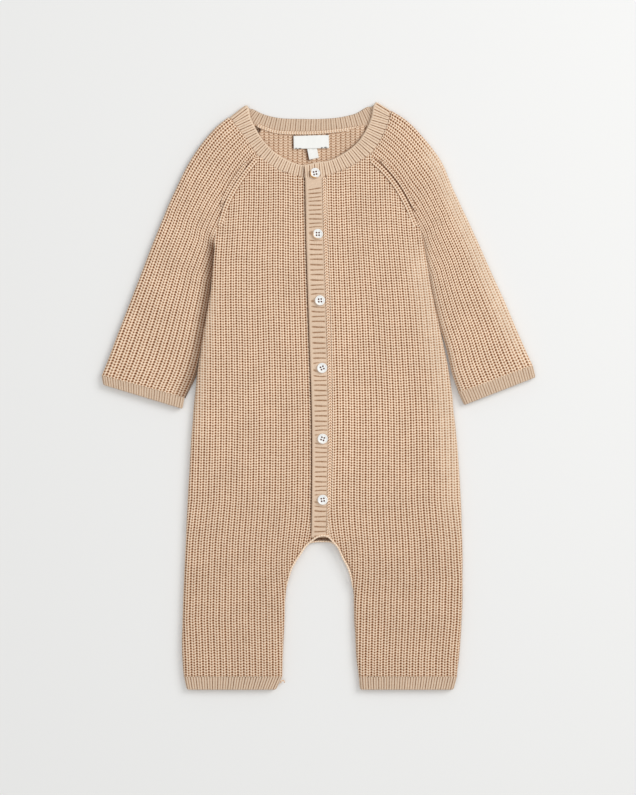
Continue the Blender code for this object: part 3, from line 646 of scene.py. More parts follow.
def backPlaces(lines, u, v):
    way = lines["way"]
    y = back["top"] - v * rib["row"]
    wale = np.interp(y, lines["wale"][0], lines["wale"][1])
    legs = y < back["crotchY"]
    radius = cloth["seamRound"] + (back["fold"] - cloth["seamRound"]) * ease((146 - y) / 12)
    outerX, outer = readEdge(lines["outer"], y, radius)
    innerX, inner = readEdge(lines["inner"], y, back["fold"])
    highest = way * (outerX - back["middle"]) + moreAt(outer) + 2 * cloth["seamLap"] * (y > 140)
    lowest = np.where(legs, way * (innerX - back["middle"]) - moreAt(inner), 0.0)
    q = np.clip(u * wale, lowest, highest)
    y = np.minimum(y, neckLevel(back["middle"] + way * q))
    plan, drop, _, level, faces = rollBetween(way, q, lowest, highest, outer, inner, legs)
    places = np.stack([back["middle"] + way * plan, y, cloth["under"] + drop], axis=-1)
    return places, facing(level, faces, -1), lowest / wale, highest / wale


back = {
    "top": 262.0,
    "middle": 2.8,
    "fold": 2.65,
    "wales": 26,
    "neckLine": smoothPath(
        [(-70.5, 254.5), (-56.5, 250.0), (-41.0, 244.5), (-18.0, 243.0)]
        + [(1.0, 243.5), (24.5, 246.0), (40.0, 249.5), (54.0, 257.0)],
        200,
    ),
    "insideFrom": 192.0,  # the inside is knitted in full above this
    "thickness": 1.75,
    "herringbone": 0.9,
    "crotchY": -133.2,
    # lines on the inside beside which painted shadow lies: the labels' free edges
    "shadowBeside": [((-11.6, 229.5), (-9.1, 218.8), 1.7), ((-24.1, 240.4), (-23.7, 230.0), 0.8)],
    "bunched": 2.0,  # how high the inside stands by the wearer's left shoulder
}


insideRib = {"crest": 0.35, "crease": 0.7, "gap": 0.45, "middle": 0.15}


def near(x, y, line, reach):
    # 1 on the line, next to nothing at twice the reach
    away = np.min([np.hypot(x - a, y - b) for a, b in line], axis=0)
    return np.exp(-((away / reach) ** 2))


def insideShade(places):
    # painted shadow where the neckband's inner edge stands over the back and beside the labels, and painted
    # shade at the crotch
    x, y = places[..., 0], places[..., 1]
    edge = smoothPath([row[:2] for row in neck["left"]], 60)
    shade = 1 - 0.72 * near(x, y, edge, 1.5) * ease((x - 16) / 12)
    for first, last, reach in back["shadowBeside"]:
        shade = shade * (1 - 0.97 * near(x, y, np.linspace(first, last, 12), reach))
    return shade * (1 - 0.75 * ease((-112 - y) / 10))


def neckLevel(x):
    return np.interp(x, back["neckLine"][:, 0], back["neckLine"][:, 1])


def belowNeck(places):
    return neckLevel(places[..., 0]) - places[..., 1] > 0.01


def makeBack():
    print("knitting the back")
    stitches = (back["top"] - body["hem"]) / rib["row"]
    fine = (back["top"] - back["insideFrom"]) / rib["row"]
    fineRows = np.linspace(0, fine, int(fine * 3), endpoint=False)
    rows = np.concatenate([fineRows, np.linspace(fine, stitches, int((stitches - fine) * 2) + 1)])
    halves = []
    for side in ("right", "left"):
        lines = backLines(side)
        place = lambda a, b: backPlaces(lines, a, b)
        wales = np.linspace(0, back["wales"], back["wales"] * 3 + 1)
        u, v = np.meshgrid(wales, rows)
        places, normals, inU = placeKnit(place, u, v, rows)
        knit = stitchMap(inU, v)
        outside = lifted(places, normals, stitchHeight(inU, v) * belowNeck(places))
        coarse = np.where(v > fine, np.rint(u / 4) * 4, u)
        herringbone = np.where(v > fine, 0, back["herringbone"])
        places, normals, inU = placeKnit(place, coarse, v, rows, herringbone)
        height = np.where(v > fine, 0.0, stitchHeight(inU, v, insideRib)) * belowNeck(places)
        inside = lifted(places, normals, -back["thickness"] - height)
        if side == "left":
            x, y, level = places[..., 0], places[..., 1], np.abs(normals[..., 0])
            bunched = back["bunched"] * ease((x - 18) / 18) * ease((y - 216) / 12)
            inside[..., 2] += bunched * ease((0.8 - level) / 0.2)
        inside = inside[:, ::-1]
        innerMap = stitchMap(inU, v, 1.0, insideShade(places))[:, ::-1]
        both, bothKnit = closeRound(outside, knit, inside, innerMap)
        mesh = gridMesh(f"back_{side}", both, bothKnit, outside.shape[1])
        # the strip that would close the cloth along the middle stays open above the crotch
        flat = np.empty(len(mesh.vertices) * 3)
        mesh.vertices.foreach_get("co", flat)
        middle = np.abs(flat[::3] - back["middle"] * mm) < 1e-6
        dropFaces(mesh, [face.index for face in mesh.polygons if middle[list(face.vertices)].all()])
        halves.append(mesh)
    whole = bmesh.new()
    for mesh in halves:
        whole.from_mesh(mesh)
    mesh = bpy.data.meshes.new("back_knit")
    whole.to_mesh(mesh)
    whole.free()
    for half in halves:
        bpy.data.meshes.remove(half)
    closeMesh(mesh)
    piece = addPiece("back_knit", mesh, bodyKnit, ["back"])
    mesh.materials.append(insideKnit)
    return piece


# Sleeves

sleeve = {
    # seam on the front, outer fold and seam on the back: X and Y of each
    "right": [
        (-56.5, 222.5, -82.0, 257.5, -52.5, 248.5), (-67.0, 209.5, -91.5, 250.0, -61.5, 231.0),
        (-76.5, 196.0, -104.0, 236.5, -71.0, 213.5), (-86.0, 178.0, -117.0, 218.0, -81.0, 191.0),
        (-92.5, 158.0, -131.0, 190.5, -91.0, 163.0), (-95.4, 144.0, -142.5, 165.0, -95.4, 144.0),
        (-96.3, 129.0, -151.0, 144.5, -96.3, 129.0), (-99.6, 97.5, -163.5, 112.0, -99.6, 97.5),
        (-104.6, 67.0, -176.0, 80.0, -104.6, 67.0), (-108.6, 44.0, -185.5, 55.5, -108.6, 44.0),
        (-114.6, 21.0, -194.0, 33.0, -112.5, 21.4), (-123.5, -1.0, -199.5, 19.5, -122.9, -1.2),
    ],
    "left": [
        (47.5, 222.5, 67.0, 263.0, 42.5, 248.5), (62.0, 209.5, 79.0, 255.5, 55.0, 231.0),
        (73.0, 196.0, 98.0, 236.5, 67.5, 213.5), (83.5, 178.0, 112.0, 218.0, 79.5, 191.0),
        (92.0, 158.0, 124.0, 190.5, 91.0, 163.0), (96.4, 144.0, 136.5, 165.0, 96.4, 144.0),
        (99.0, 129.0, 146.0, 144.5, 99.0, 129.0), (104.6, 98.0, 159.5, 114.0, 104.6, 98.0),
        (111.6, 67.0, 171.0, 89.0, 111.6, 67.0), (119.0, 42.0, 182.5, 62.0, 119.0, 42.0),
        (123.5, 21.0, 191.5, 41.5, 123.5, 21.0), (129.5, 3.5, 197.5, 28.5, 129.5, 3.5),
    ],
    # how far the front and the back of the top edge bulge under the neckband
    "neckBulge": {"right": (-1.2, 0.5), "left": (2.1, 0.5)},
    "neckLap": 0.7,
    "underarm": 0.37,  # share of the way down
    "length": 251.0,
    # wales across the front of it, on the way down
    "wales": [(0.0, 9.8), (0.2, 9.6), (0.37, 11.3), (0.54, 13.3), (1.0, 13.6)],
    "backWales": 18,
    "frontWales": 14,
}


def sleeveLines(side):
    table = sleeve[side]
    lines = {}
    for name, index in (("front", 0), ("outer", 2), ("back", 4)):
        line = smoothPath([(row[index], row[index + 1]) for row in table], 400)
        lines[name] = (line, unit(np.gradient(line, axis=0)))
    return lines


def readAt(line, t):
    steps = np.linspace(0, 1, len(line))
    return np.stack([np.interp(t, steps, part) for part in line.T], axis=-1)


def crossed(a, b):
    return np.abs(a[..., 0] * b[..., 1] - a[..., 1] * b[..., 0])


def outwards(along, towards):
    # level normal of a line, on the side that `towards` points to
    normal = np.stack([along[..., 1], -along[..., 0]], axis=-1)
    return normal * np.sign((normal * towards).sum(-1, keepdims=True))


def sleevePlaces(side, lines, rows, u, v):
    t = v / rows[-1]
    outer, outerAlong = readAt(lines["outer"][0], t), readAt(lines["outer"][1], t)
    onFront = (u >= 0)[..., None]
    front = readAt(lines["front"][0], t)
    seam = np.where(onFront, front, readAt(lines["back"][0], t))
    seamAlong = np.where(onFront, readAt(lines["front"][1], t), readAt(lines["back"][1], t))
    across = seam - outer
    width = np.linalg.norm(across, axis=-1)
    across = across / width[..., None]
    frontWidth = np.linalg.norm(front - outer, axis=-1)
    shape = ease((t - sleeve["underarm"]) / 0.05)
    foldRadius = np.where(u >= 0, cloth["fold"], back["fold"])
    seamRadius = cloth["seamRound"] + (foldRadius - cloth["seamRound"]) * shape
    outerLean = np.maximum(crossed(across, outerAlong), 0.6)
    seamLean = np.maximum(crossed(across, seamAlong), 0.6)
    outerMore, seamMore = roundLength(foldRadius) / outerLean, roundLength(seamRadius) / seamLean
    seamMore = seamMore + cloth["seamLap"] * (1 - shape)
    total = width + outerMore + seamMore
    frontTotal = frontWidth + roundLength(cloth["fold"]) / outerLean + seamMore
    table = np.array(sleeve["wales"]).T
    wale = frontTotal / np.interp(t, table[0], table[1])
    q = np.minimum(np.abs(u) * wale, total)
    toOuter, toSeam = q * outerLean, (total - q) * seamLean
    outerInset, outerDrop, outerFace = rollOver(toOuter, foldRadius)
    seamInset, seamDrop, seamFace = rollOver(toSeam, seamRadius)
    plan = outerInset / outerLean + (toSeam / seamLean - seamMore) - seamInset / seamLean
    flat = outer + across * plan[..., None]
    bulge = np.where(u >= 0, *sleeve["neckBulge"][side]) * np.sin(math.pi * np.clip(plan / width, 0, 1))
    bulge = (bulge + sleeve["neckLap"]) * np.clip(1 - t / 0.08, 0, 1)
    away = outwards(across, np.array([-1.0, 0.0]) if side == "right" else np.array([1.0, 0.0]))
    flat = flat + away * bulge[..., None]
    neckDrop = rollOver(v * rib["row"], 0.5)[1]
    cuffDrop = rollOver((rows[-1] - v) * rib["row"], cloth["rimRound"])[1]
    folds, rims = outerDrop + seamDrop, neckDrop + cuffDrop
    upper = cloth["top"] + crownAt(np.minimum(toOuter, toSeam)) - folds - rims
    z = np.where(u >= 0, upper, cloth["under"] + folds + 0.5 * rims)
    level = outwards(outerAlong, -across) * outerFace[..., None]
    level = level + outwards(seamAlong, across) * seamFace[..., None]
    reach = total / wale
    lowest = np.where(u >= 0, 0.0, -reach)
    highest = np.where(u >= 0, reach, 0.0)
    normals = facing(level, (outerFace, seamFace), np.where(u >= 0, 1, -1))
    return np.concatenate([flat, z[..., None]], axis=-1), normals, lowest, highest


def sleeveStrengthAndPaintedShade(side, lines, rows, places, v):
    # painted shadow of the body on the wearer's right sleeve beside it, darkest on the back layer that shows
    # below; on the left, painted shade beside the seam, and at the outer fold weaker painted shade in the gaps
    # with a little painted shade over all
    t = v / rows[-1]
    toSeam = np.linalg.norm(places[..., :2] - readAt(lines["front"][0], t), axis=-1)
    toFold = np.linalg.norm(places[..., :2] - readAt(lines["outer"][0], t), axis=-1)
    beside = ease((t - 0.345) / 0.07)
    if side == "right":
        shade = 1 - 0.97 * beside * ease(1 - t / 1.1) ** 0.2 * np.exp(-((toSeam / 7.2) ** 2.4))
        return np.ones_like(t), np.where(places[..., 2] < 3.4, 0.3 * shade, shade)
    beside = beside * np.exp(-((toSeam / 5.0) ** 2))
    faint = ease((t - 0.12) / 0.1) * ease((1.1 - t) / 0.3) * ease(1.3 - toFold / 16)
    return 1 - 0.4 * beside - 0.5 * faint, (1 - 0.3 * beside) * (1 - 0.11 * faint)


def makeSleeve(side):
    lines = sleeveLines(side)
    rows = knitRows(sleeve["length"], 0, rib["alongRow"])
    behind = np.arange(-sleeve["backWales"] * 4, 0) / 4
    before = np.arange(sleeve["frontWales"] * rib["acrossWale"] + 1) / rib["acrossWale"]
    place = lambda a, b: sleevePlaces(side, lines, rows, a, b)
    wear = lambda places, v: sleeveStrengthAndPaintedShade(side, lines, rows, places, v)
    return makeKnit(f"sleeve_{side}", place, wear, np.concatenate([behind, before]), rows, 10, 0.4)


print("knitting the sleeves")
sleevePieces = {side: makeSleeve(side) for side in ("right", "left")}


# Strips of cloth with two faces: neckband, bands, seams


def stripMesh(
    name, starts, ends, along, across, thick, look, strength=1.0, shade=1.0, fade=0.12, chevron=0.0
):
    # a strip from the line `starts` to the line `ends`, with its knit numbered along and across;
    # `along` may differ across the strip
    s = np.linspace(0, 1, len(across))
    forward = np.gradient((starts + ends) / 2, axis=0)
    sideways = ends - starts
    normals = unit(np.cross(forward, sideways))
    middle = starts[:, None] + sideways[:, None] * s[None, :, None]
    u, v = np.broadcast_arrays(along if along.ndim > 1 else along[:, None], across[None])
    if chevron:
        middle = middle + (forward * chevron)[:, None] * fromMiddle(across)[None, :, None]
        u, v = v, u
    edge = np.minimum(s, 1 - s) / fade
    height = stitchHeight(u, v, look) * ease(edge) * strength
    half = thick * np.sqrt(1 - np.clip(1 - edge, 0, 1) ** 2) + height
    half[:, 0] = half[:, -1] = 0
    knit = stitchMap(u, v, strength, shade)
    upper = lifted(middle, normals[:, None], half)
    lower = lifted(middle, normals[:, None], -half)[:, ::-1]
    mesh = gridMesh(name, *closeRound(upper, knit, lower, knit[:, ::-1]))
    closeMesh(mesh)
    return mesh


fineRib = {"crest": 0.28, "crease": 0.18, "gap": 0.75, "middle": 0.05}

neck = {
    # free edge and seam: X and Y of each, from the lower end round to the upper end
    "right": [
        (5.5, 216.0, 5.5, 201.0), (-2.0, 215.0, -3.0, 200.5), (-13.0, 213.5, -14.5, 201.0),
        (-29.0, 218.5, -34.5, 206.5), (-42.5, 227.5, -50.5, 217.0), (-52.0, 238.0, -62.5, 230.0),
        (-59.0, 250.0, -72.5, 244.0), (-62.5, 258.0, -77.5, 250.5),
    ],
    "rightShoulder": (-66.5, 269.5, -82.0, 257.5),
    "back": [
        (-60.0, 265.2, -70.5, 254.5), (-51.0, 260.9, -56.5, 250.0), (-38.0, 257.5, -41.0, 244.5),
        (-17.0, 256.4, -18.0, 243.0), (1.5, 256.4, 1.0, 243.5), (22.0, 258.3, 24.5, 246.0),
        (35.0, 261.7, 39.5, 248.2), (44.0, 267.0, 52.5, 253.5),
    ],
    "leftShoulder": (53.2, 272.3, 67.3, 263.6),
    "left": [
        (49.0, 258.5, 65.5, 253.5), (43.0, 244.5, 58.5, 236.5), (35.5, 234.0, 47.5, 223.0),
        (23.0, 224.0, 31.0, 211.5), (8.5, 217.0, 12.0, 203.0), (-2.5, 215.5, -2.0, 200.0),
        (-13.0, 213.0, -12.2, 199.8),
    ],
    "frontLevel": 5.2,
    "backLevel": 1.2,
    "foldRadius": 2.0,
    "ribPitch": 2.3,
    "perRib": 4,
    "columns": 21,
    "halfThickness": 0.95,
}


def shoulderSections(section, way):
    # sections round a shoulder fold, from the front's level to the back's
    edge, seam = np.array(section[:2]), np.array(section[2:])
    along = (seam - edge) / np.linalg.norm(seam - edge)
    inward = way * np.array((-along[1], along[0]))
    sections = []
    for angle in np.radians(np.linspace(0, 180, 9)):
        reach = neck["foldRadius"] * (1 - math.sin(angle)) + 1.2
        z = neck["frontLevel"] - neck["foldRadius"] * (1 - math.cos(angle))
        sections.append((*(edge + inward * reach), z, *(seam + inward * reach), z))
    return sections


def neckSections():
    level = lambda row, z, seamZ: (row[0], row[1], z, row[2], row[3], seamZ)
    front, behind = neck["frontLevel"], neck["backLevel"]
    left = []
    for row in neck["left"]:
        edgeRise, seamRise = (float(riseToBand(row[i], row[i + 1])) for i in (0, 2))
        left.append(level(row, front + edgeRise, front + seamRise))
    return (
        [level(row, front, front) for row in neck["right"]]
        + shoulderSections(neck["rightShoulder"], 1)
        + [level(row, behind, behind) for row in neck["back"]]
        + shoulderSections(neck["leftShoulder"], -1)[::-1]
        + left
    )


def makeNeckband():
    sections = np.array(neckSections())
    steps = np.linalg.norm(np.diff((sections[:, :3] + sections[:, 3:]) / 2, axis=0), axis=1)
    ribs = int(steps.sum() / neck["ribPitch"])
    fine = smoothPath(sections, ribs * neck["perRib"] + 1, places=6)
    fine[:, [2, 5]] = np.maximum(fine[:, [2, 5]], neck["backLevel"])
    along = np.arange(len(fine)) / neck["perRib"]
    s = np.linspace(0, 1, neck["columns"])
    # every second valley is deeper and ends in a hole at the seam, painted dark as shade
    deep = 0.5 + 0.5 * np.cos(math.pi * along)[:, None]
    hole = ease((s - 0.80) / 0.12) * ease((1 - s) / 0.02)
    behind = ease((2.6 - fine[:, 2:3]) / 0.8)
    edge = ease(s / 0.16) * (1 - behind) + behind
    strength = (0.44 + 0.5 * deep) * edge * (1 - 0.6 * hole) * (1 - 0.15 * behind)
    strength = strength + 1.2 * hole * deep**3 * (1 - behind)
    starts, ends, thick = fine[:, :3], fine[:, 3:], neck["halfThickness"]
    # the part behind the neck lies lower and gets painted shade
    shade = 1 - 0.14 * behind
    mesh = stripMesh("neckband_knit", starts, ends, along, s * 6, thick, fineRib, strength, shade)
    return addPiece("neckband_knit", mesh, fineKnit, ["neckband"])


backPiece = makeBack()
print("knitting the neckband")
neckPiece = makeNeckband()


bands = {
    "perRib": 6,
    "columns": 25,
    "halfThickness": 1.0,
    "level": 5.2,
    # Y of a groove between ribs, and its number
    "grooves": [
        (201.8, -3), (190.7, 0), (176.0, 4), (154.8, 9), (145.0, 11), (97.9, 21), (78.9, 25),
        (34.8, 34), (20.1, 37), (-46.1, 51), (-87.2, 60), (-104.1, 64), (-110.1, 65),
        (-133.0, 70),
    ],
    "tilt": 3.2,  # the topmost ribs rise towards the seam, and above this Y there are none
    "tiltFrom": 190.0,
    "tiltLength": 8.5,
    "waver": 0.06,  # ribs by which a groove wanders
    "buttonPull": 0.55,  # ribs by which a groove bends round a button, and how far away it still does
    "pullLength": 9.0,
    "chainWidth": 4.2,
}
bandRib = {"crest": 0.12, "crease": 0.0, "gap": 0.65, "middle": 0.0}
chainRib = {"crest": 0.4, "crease": 0.8, "gap": 0.3, "middle": 0.4}

# middle of each button: X, Y
buttonPlaces = [(-3.0, 205.4), (-0.5, 149.5), (1.5, 88.5), (3.5, 26.5), (4.0, -38.5), (4.0, -94.5)]


def makeBand(name, node, freeInset, seamInset, levelAt):
    top, bottom = 203.0, cloth["crotchY"] + 1.0
    grooves = np.array(bands["grooves"], float)[::-1].T
    count = lambda y: np.interp(y, grooves[0], grooves[1])
    fine = np.linspace(top, bottom, 3000)
    first, last = count(201.8), count(bottom)
    along = np.linspace(first, last, int((last - first) * bands["perRib"]) + 1)
    y = np.interp(along, count(fine), fine)
    y[0] = top
    s = np.linspace(0, 1, bands["columns"])
    starts = np.stack([readLine(freeLine, y) + freeInset, y, levelAt(y)], axis=-1)
    ends = np.stack([readLine(seamLine, y) - seamInset, y, levelAt(y)], axis=-1)
    tilt = bands["tilt"] * np.exp(-np.maximum(bands["tiltFrom"] - y, 0) / bands["tiltLength"])
    for place, reach in ((starts, -0.4), (ends, 0.6)):
        place[:, 1] += tilt * reach
        place[:, 1] = np.clip(place[:, 1], bottom, top)
    places = starts[:, None] + (ends - starts)[:, None] * s[None, :, None]
    ribs = along[:, None]
    counted = ribs + bands["waver"] * np.sin(3.4 * s + 2.1 * ribs) * ease(ribs + 3)
    strength = 0.86 * ease((s - 0.10) / 0.10) * ease((0.82 - s) / 0.10) + 0 * counted
    strength *= 0.12 + 0.88 * ease((bands["tiltFrom"] + 4 - y) / 3)[:, None]
    for x, buttonY in buttonPlaces[1:]:
        beyond = places[..., 1] - buttonY
        away = np.hypot(beyond, places[..., 0] - x)
        pull = bands["buttonPull"] * np.exp(-((away / bands["pullLength"]) ** 2))
        counted += pull * np.clip(beyond / 3, -1, 1)
        strength *= 0.25 + 0.75 * ease((away - 4.5) / 3.5)
    thick = bands["halfThickness"]
    mesh = stripMesh(name, starts, ends, counted, s * 8, thick, bandRib, strength, fade=0.06)
    return addPiece(name, mesh, bandKnit, [node])


def seamStrip(
    name, middleLine, width, material, look, chevron, row=2.47, strength=1.0, shade=1.0, thick=0.6, taper=0
):
    # a narrow strip of stitches laid along a line in space
    length = np.linalg.norm(np.diff(middleLine, axis=0), axis=1).sum()
    rows = int(length / row)
    path = smoothPath(middleLine, rows * 4 + 1, places=3)
    forward = np.gradient(path, axis=0)
    level = unit(np.stack([forward[:, 1], -forward[:, 0], 0 * forward[:, 0]], axis=-1)) * width / 2
    if taper:
        fromEnd = np.minimum(np.arange(len(path)), np.arange(len(path))[::-1])
        level *= np.sqrt(np.clip((fromEnd[:, None] + 0.5) / taper, 0, 1))
    across = np.linspace(0, 1, 7)
    along = np.arange(len(path)) / 4
    edges = path + level, path - level
    mesh = stripMesh(name, *edges, along, across, thick, look, strength, shade, 0.1, chevron)
    return addPiece(name, mesh, material)


print("knitting the button bands")
upperLevel = lambda y: bands["level"] + bandStep(y)
lowerLevel = lambda y: bands["level"] - 0.7 * atCrotch(y)
lowerInset = body["underBandInset"] + 0.2
upperBand = makeBand("buttonhole_band_knit", "buttonhole_band_left", 0.0, 0.3, upperLevel)
lowerBand = makeBand("button_band_knit", "button_band_right", lowerInset, 1.5, lowerLevel)
chainY = np.linspace(202.6, cloth["crotchY"] + 2, 60)
chainX = readLine(seamLine, chainY) - bands["chainWidth"] * 0.36
chainLine = np.stack([chainX, chainY, upperLevel(chainY) + 1.2], axis=-1)
chain = seamStrip("band_chain", chainLine, bands["chainWidth"], chainKnit, chainRib, 3.2)


# Cuffs and hems

endCorners = {
    "cuff_right": ((-123.5, -1.0), (-199.5, 19.5), (-125.5, -11.0), (-198.0, 11.0)),
    "cuff_left": ((129.5, 3.5), (197.5, 28.5), (134.5, -7.5), (200.0, 18.0)),
    "hem_right": ((-33.5, -258.0), (-123.5, -258.0), (-39.0, -269.5), (-121.0, -269.5)),
    "hem_left": ((37.5, -258.0), (127.5, -258.0), (38.5, -269.5), (124.5, -269.5)),
}
endRib = {"pitch": 2.35, "perRib": 5, "rows": 15, "insideRows": 5}
# how strongly and how light the ribs show
endLooks = {"cuff": (0.62, 0.86), "hem": (0.8, 0.88)}


def makeEnd(name):
    innerTop, outerTop, innerEnd, outerEnd = (np.array(corner) for corner in endCorners[name])
    innerTop, outerTop = innerTop * 1.05 - innerEnd * 0.05, outerTop * 1.05 - outerEnd * 0.05
    length = np.linalg.norm((innerEnd + outerEnd - innerTop - outerTop) / 2)
    down = np.linspace(0, 1, endRib["rows"])
    inner = innerTop + (innerEnd - innerTop) * down[:, None]
    outer = outerTop + (outerEnd - outerTop) * down[:, None]
    width = np.linalg.norm(outer - inner, axis=1)
    across = (outer - inner) / width[:, None]
    ribs = 2 * int((width.mean() + 2) / endRib["pitch"])
    theta = np.linspace(0, 2, ribs * endRib["perRib"] + 1)
    onFront = theta <= 1
    fraction = np.where(onFront, theta, 2 - theta)
    radius = np.where(onFront, cloth["fold"], back["fold"])
    total = width[:, None] + 2 * roundLength(radius)
    q = fraction * total
    nearInset, nearDrop, nearFace = rollOver(q, radius)
    farInset, farDrop, farFace = rollOver(total - q, radius)
    plan = nearInset + (total - q - roundLength(radius)) - farInset
    flat = inner[:, None] + across[:, None] * plan[..., None]
    drop = nearDrop + farDrop
    upper = cloth["top"] + 0.6 * crownAt(np.minimum(q, total - q)) - drop
    z = np.where(onFront, upper, cloth["under"] + drop)
    level = across[:, None] * (farFace - nearFace)[..., None]
    normals = facing(level, (nearFace, farFace), np.where(onFront, 1, -1))
    places = np.concatenate([flat, z[..., None]], axis=-1)
    u = theta / 2 * ribs + 0 * down[:, None]
    v = down[:, None] * length / rib["row"] + 0 * theta
    rim = np.sqrt(np.maximum(1 - np.maximum(2 * down - 1, 0) ** 10, 0))[:, None]
    height = (stitchHeight(u, v, fineRib) + cloth["seamRound"]) * rim - cloth["seamRound"]
    outside = lifted(places, normals, height)
    picked = np.linspace(endRib["rows"] - 1, 0, endRib["insideRows"]).astype(int)
    inside = (places - normals * cloth["thickness"])[picked]
    deep = 0.5 + 0.5 * np.cos(math.pi * u)
    strength, shade = endLooks[name.split("_")[0]]
    strength = strength * (0.68 + 0.42 * deep) * (1 - 0.3 * ease(down * 6 - 5))[:, None]
    knit = stitchMap(u, v, strength, shade)
    mesh = gridMesh(
        f"{name}_knit",
        np.concatenate([outside, inside, outside[:1]], axis=0),
        np.concatenate([knit, knit[picked], knit[:1]], axis=0),
    )
    closeMesh(mesh)
    return addPiece(f"{name}_knit", mesh, fineKnit, [name])


print("knitting the cuffs and hems")
endPieces = {name: makeEnd(name) for name in endCorners}


# Raglan ribs, seams and rolled edges


# how far in from the raglan seam each rib lies, its width, how deep its furrow is and how much painted
# shade lies in it, and where it runs
raglanRibs = {
    "raglan_rib_right": (2.1, 5.6, 0.2, 3, 60),
    "raglan_rib_left": (2.6, 5.6, 0.9, 3, 60),
    "raglan_rib_right_outer": (-2.5, 4.4, 0.3, 7, 46),
    "raglan_rib_left_outer": (-2.6, 4.4, 0.6, 7, 50),
}


def raglanStrip(name):
    inset, width, furrow, first, last = raglanRibs[name]
    side = "right" if "right" in name else "left"
    way = -1 if side == "right" else 1
    path = smoothPath(column(body["outer"][:5], 1 if side == "right" else 2), 60)
    forward = unit(np.gradient(path, axis=0))
    inward = np.stack([forward[:, 1], -forward[:, 0]], axis=-1) * way
    path = path + inward * inset
    t = np.linspace(0, 1, len(path))
    height = cloth["top"] + 0.75 - 0.6 * ease((t - 0.7) / 0.3)
    middle = np.column_stack([path, height])[first:last]
    outerEdge = np.linspace(0, 1, 7)[::way]
    # the furrow at the outer edge is deeper and holds more painted shade
    strength = 1.0 + furrow * ease(outerEdge * 3 - 2)
    taper = 14 if inset < 0 else 0
    strength = strength[None]
    return seamStrip(name, middle, width, bodyKnit, raglanRib, 1.2, strength=strength, thick=0.45, taper=taper)


def rolledEdge(name, points, radius, material, row=2.4, strength=0.7, shade=1.0, taper=3):
    # a thin tube of stitches along an edge
    length = np.linalg.norm(np.diff(np.array(points), axis=0), axis=1).sum()
    path = smoothPath(points, int(length / 0.8) + 1, places=3)
    path[:, 2] = np.maximum(path[:, 2], radius + 0.1)
    forward = unit(np.gradient(path, axis=0))
    sideways = unit(np.cross(forward, (0, 0, 1.0)))
    upwards = np.cross(sideways, forward)
    turn = np.linspace(0, 2 * math.pi, 13)
    v = np.linspace(0, length / row, len(path))[:, None] + 0.35 * np.sin(turn)[None]
    fromEnd = np.minimum(np.arange(len(path)), np.arange(len(path))[::-1])
    pinched = 1 - 0.12 * (0.5 + 0.5 * np.cos(2 * math.pi * v))
    r = radius * np.sqrt(np.minimum(1, fromEnd / taper + 0.6 / taper))[:, None] * pinched
    places = path[:, None] + sideways[:, None] * (r * np.cos(turn))[..., None]
    places = places + upwards[:, None] * (r * np.sin(turn))[..., None]
    knit = stitchMap(0.3 + 0.4 * turn[None] / (2 * math.pi) + 0 * v, v, strength, shade)
    mesh = gridMesh(name, places, knit)
    closeMesh(mesh)
    return addPiece(name, mesh, material)


raglanRib = {"crest": 0.45, "crease": 0.5, "gap": 0.5, "middle": 0.45}
print("laying the seams and edges")
raglans = [raglanStrip(name) for name in raglanRibs]
backSeam = smoothPath([(row[2], row[3]) for row in neck["back"][1:-1]], 40)
backSeam = np.array([(x, y + 0.2, 3.1) for x, y in backSeam])
neckChain = seamStrip(
    "back_neck_chain", backSeam, 3.4, chainKnit, chainRib, 1.1, row=2.3, strength=0.7, shade=0.9, thick=0.4
)
seamRound = [(row[3], row[4], row[5] - 0.5) for row in neckSections()[1:]]
neckSeam = rolledEdge("neck_seam", seamRound, 1.15, chainKnit, strength=0.8, shade=0.75)
crotchEdge = rolledEdge(
    "crotch_edge",
    [
        (-29.6, -175.0, 5.2), (-27.6, -167.0, 6.1), (-25.0, -158.5, 6.8), (-20.1, -149.5, 7.2),
        (-16.3, -143.9, 7.4), (-12.0, -137.6, 7.6), (-5.6, -131.9, 8.3), (-0.7, -128.6, 8.9),
        (4.2, -127.4, 9.0), (8.5, -128.2, 8.9), (13.3, -132.6, 8.2), (18.0, -138.2, 7.5),
        (22.6, -148.0, 7.2), (27.4, -157.0, 6.9), (30.6, -168.0, 6.3), (31.6, -176.0, 5.8),
    ],
    0.95,
    chainKnit,
    strength=0.4,
    taper=18,
)
backCrotch = rolledEdge(
    "back_crotch_edge",
    [(-10.0, -135.0, 2.2), (-5.0, -133.7, 2.6), (4.0, -133.2, 2.8)]
    + [(11.5, -133.8, 2.5), (16.5, -136.5, 2.1)],
    0.85,
    chainKnit,
    strength=0.4,
)
tailLine = [(-35.2, -264.2, 3.2), (-33.4, -261.4, 3.4), (-31.6, -262.0, 3.0), (-31.0, -263.6, 2.4)]
hemTail = rolledEdge("hem_tail", tailLine, 0.7, chainKnit)


# Buttons

shellLook = {
    "radius": 4.75,
    "edge": 0.55,  # radius of the rim
    "thick": 2.0,
    "dish": 3.6,
    "dishDepth": 0.5,
    "hole": 0.74,
    "holeAt": 1.18,
    "tuftDepth": 0.55,
    "bottom": 9.5,
}
buttonTurns = [12, 0, 4, 24, -18, 8]
buttonAmber = [1.0, 0.75, 0.15, 0.05, 0.1, 0.1]


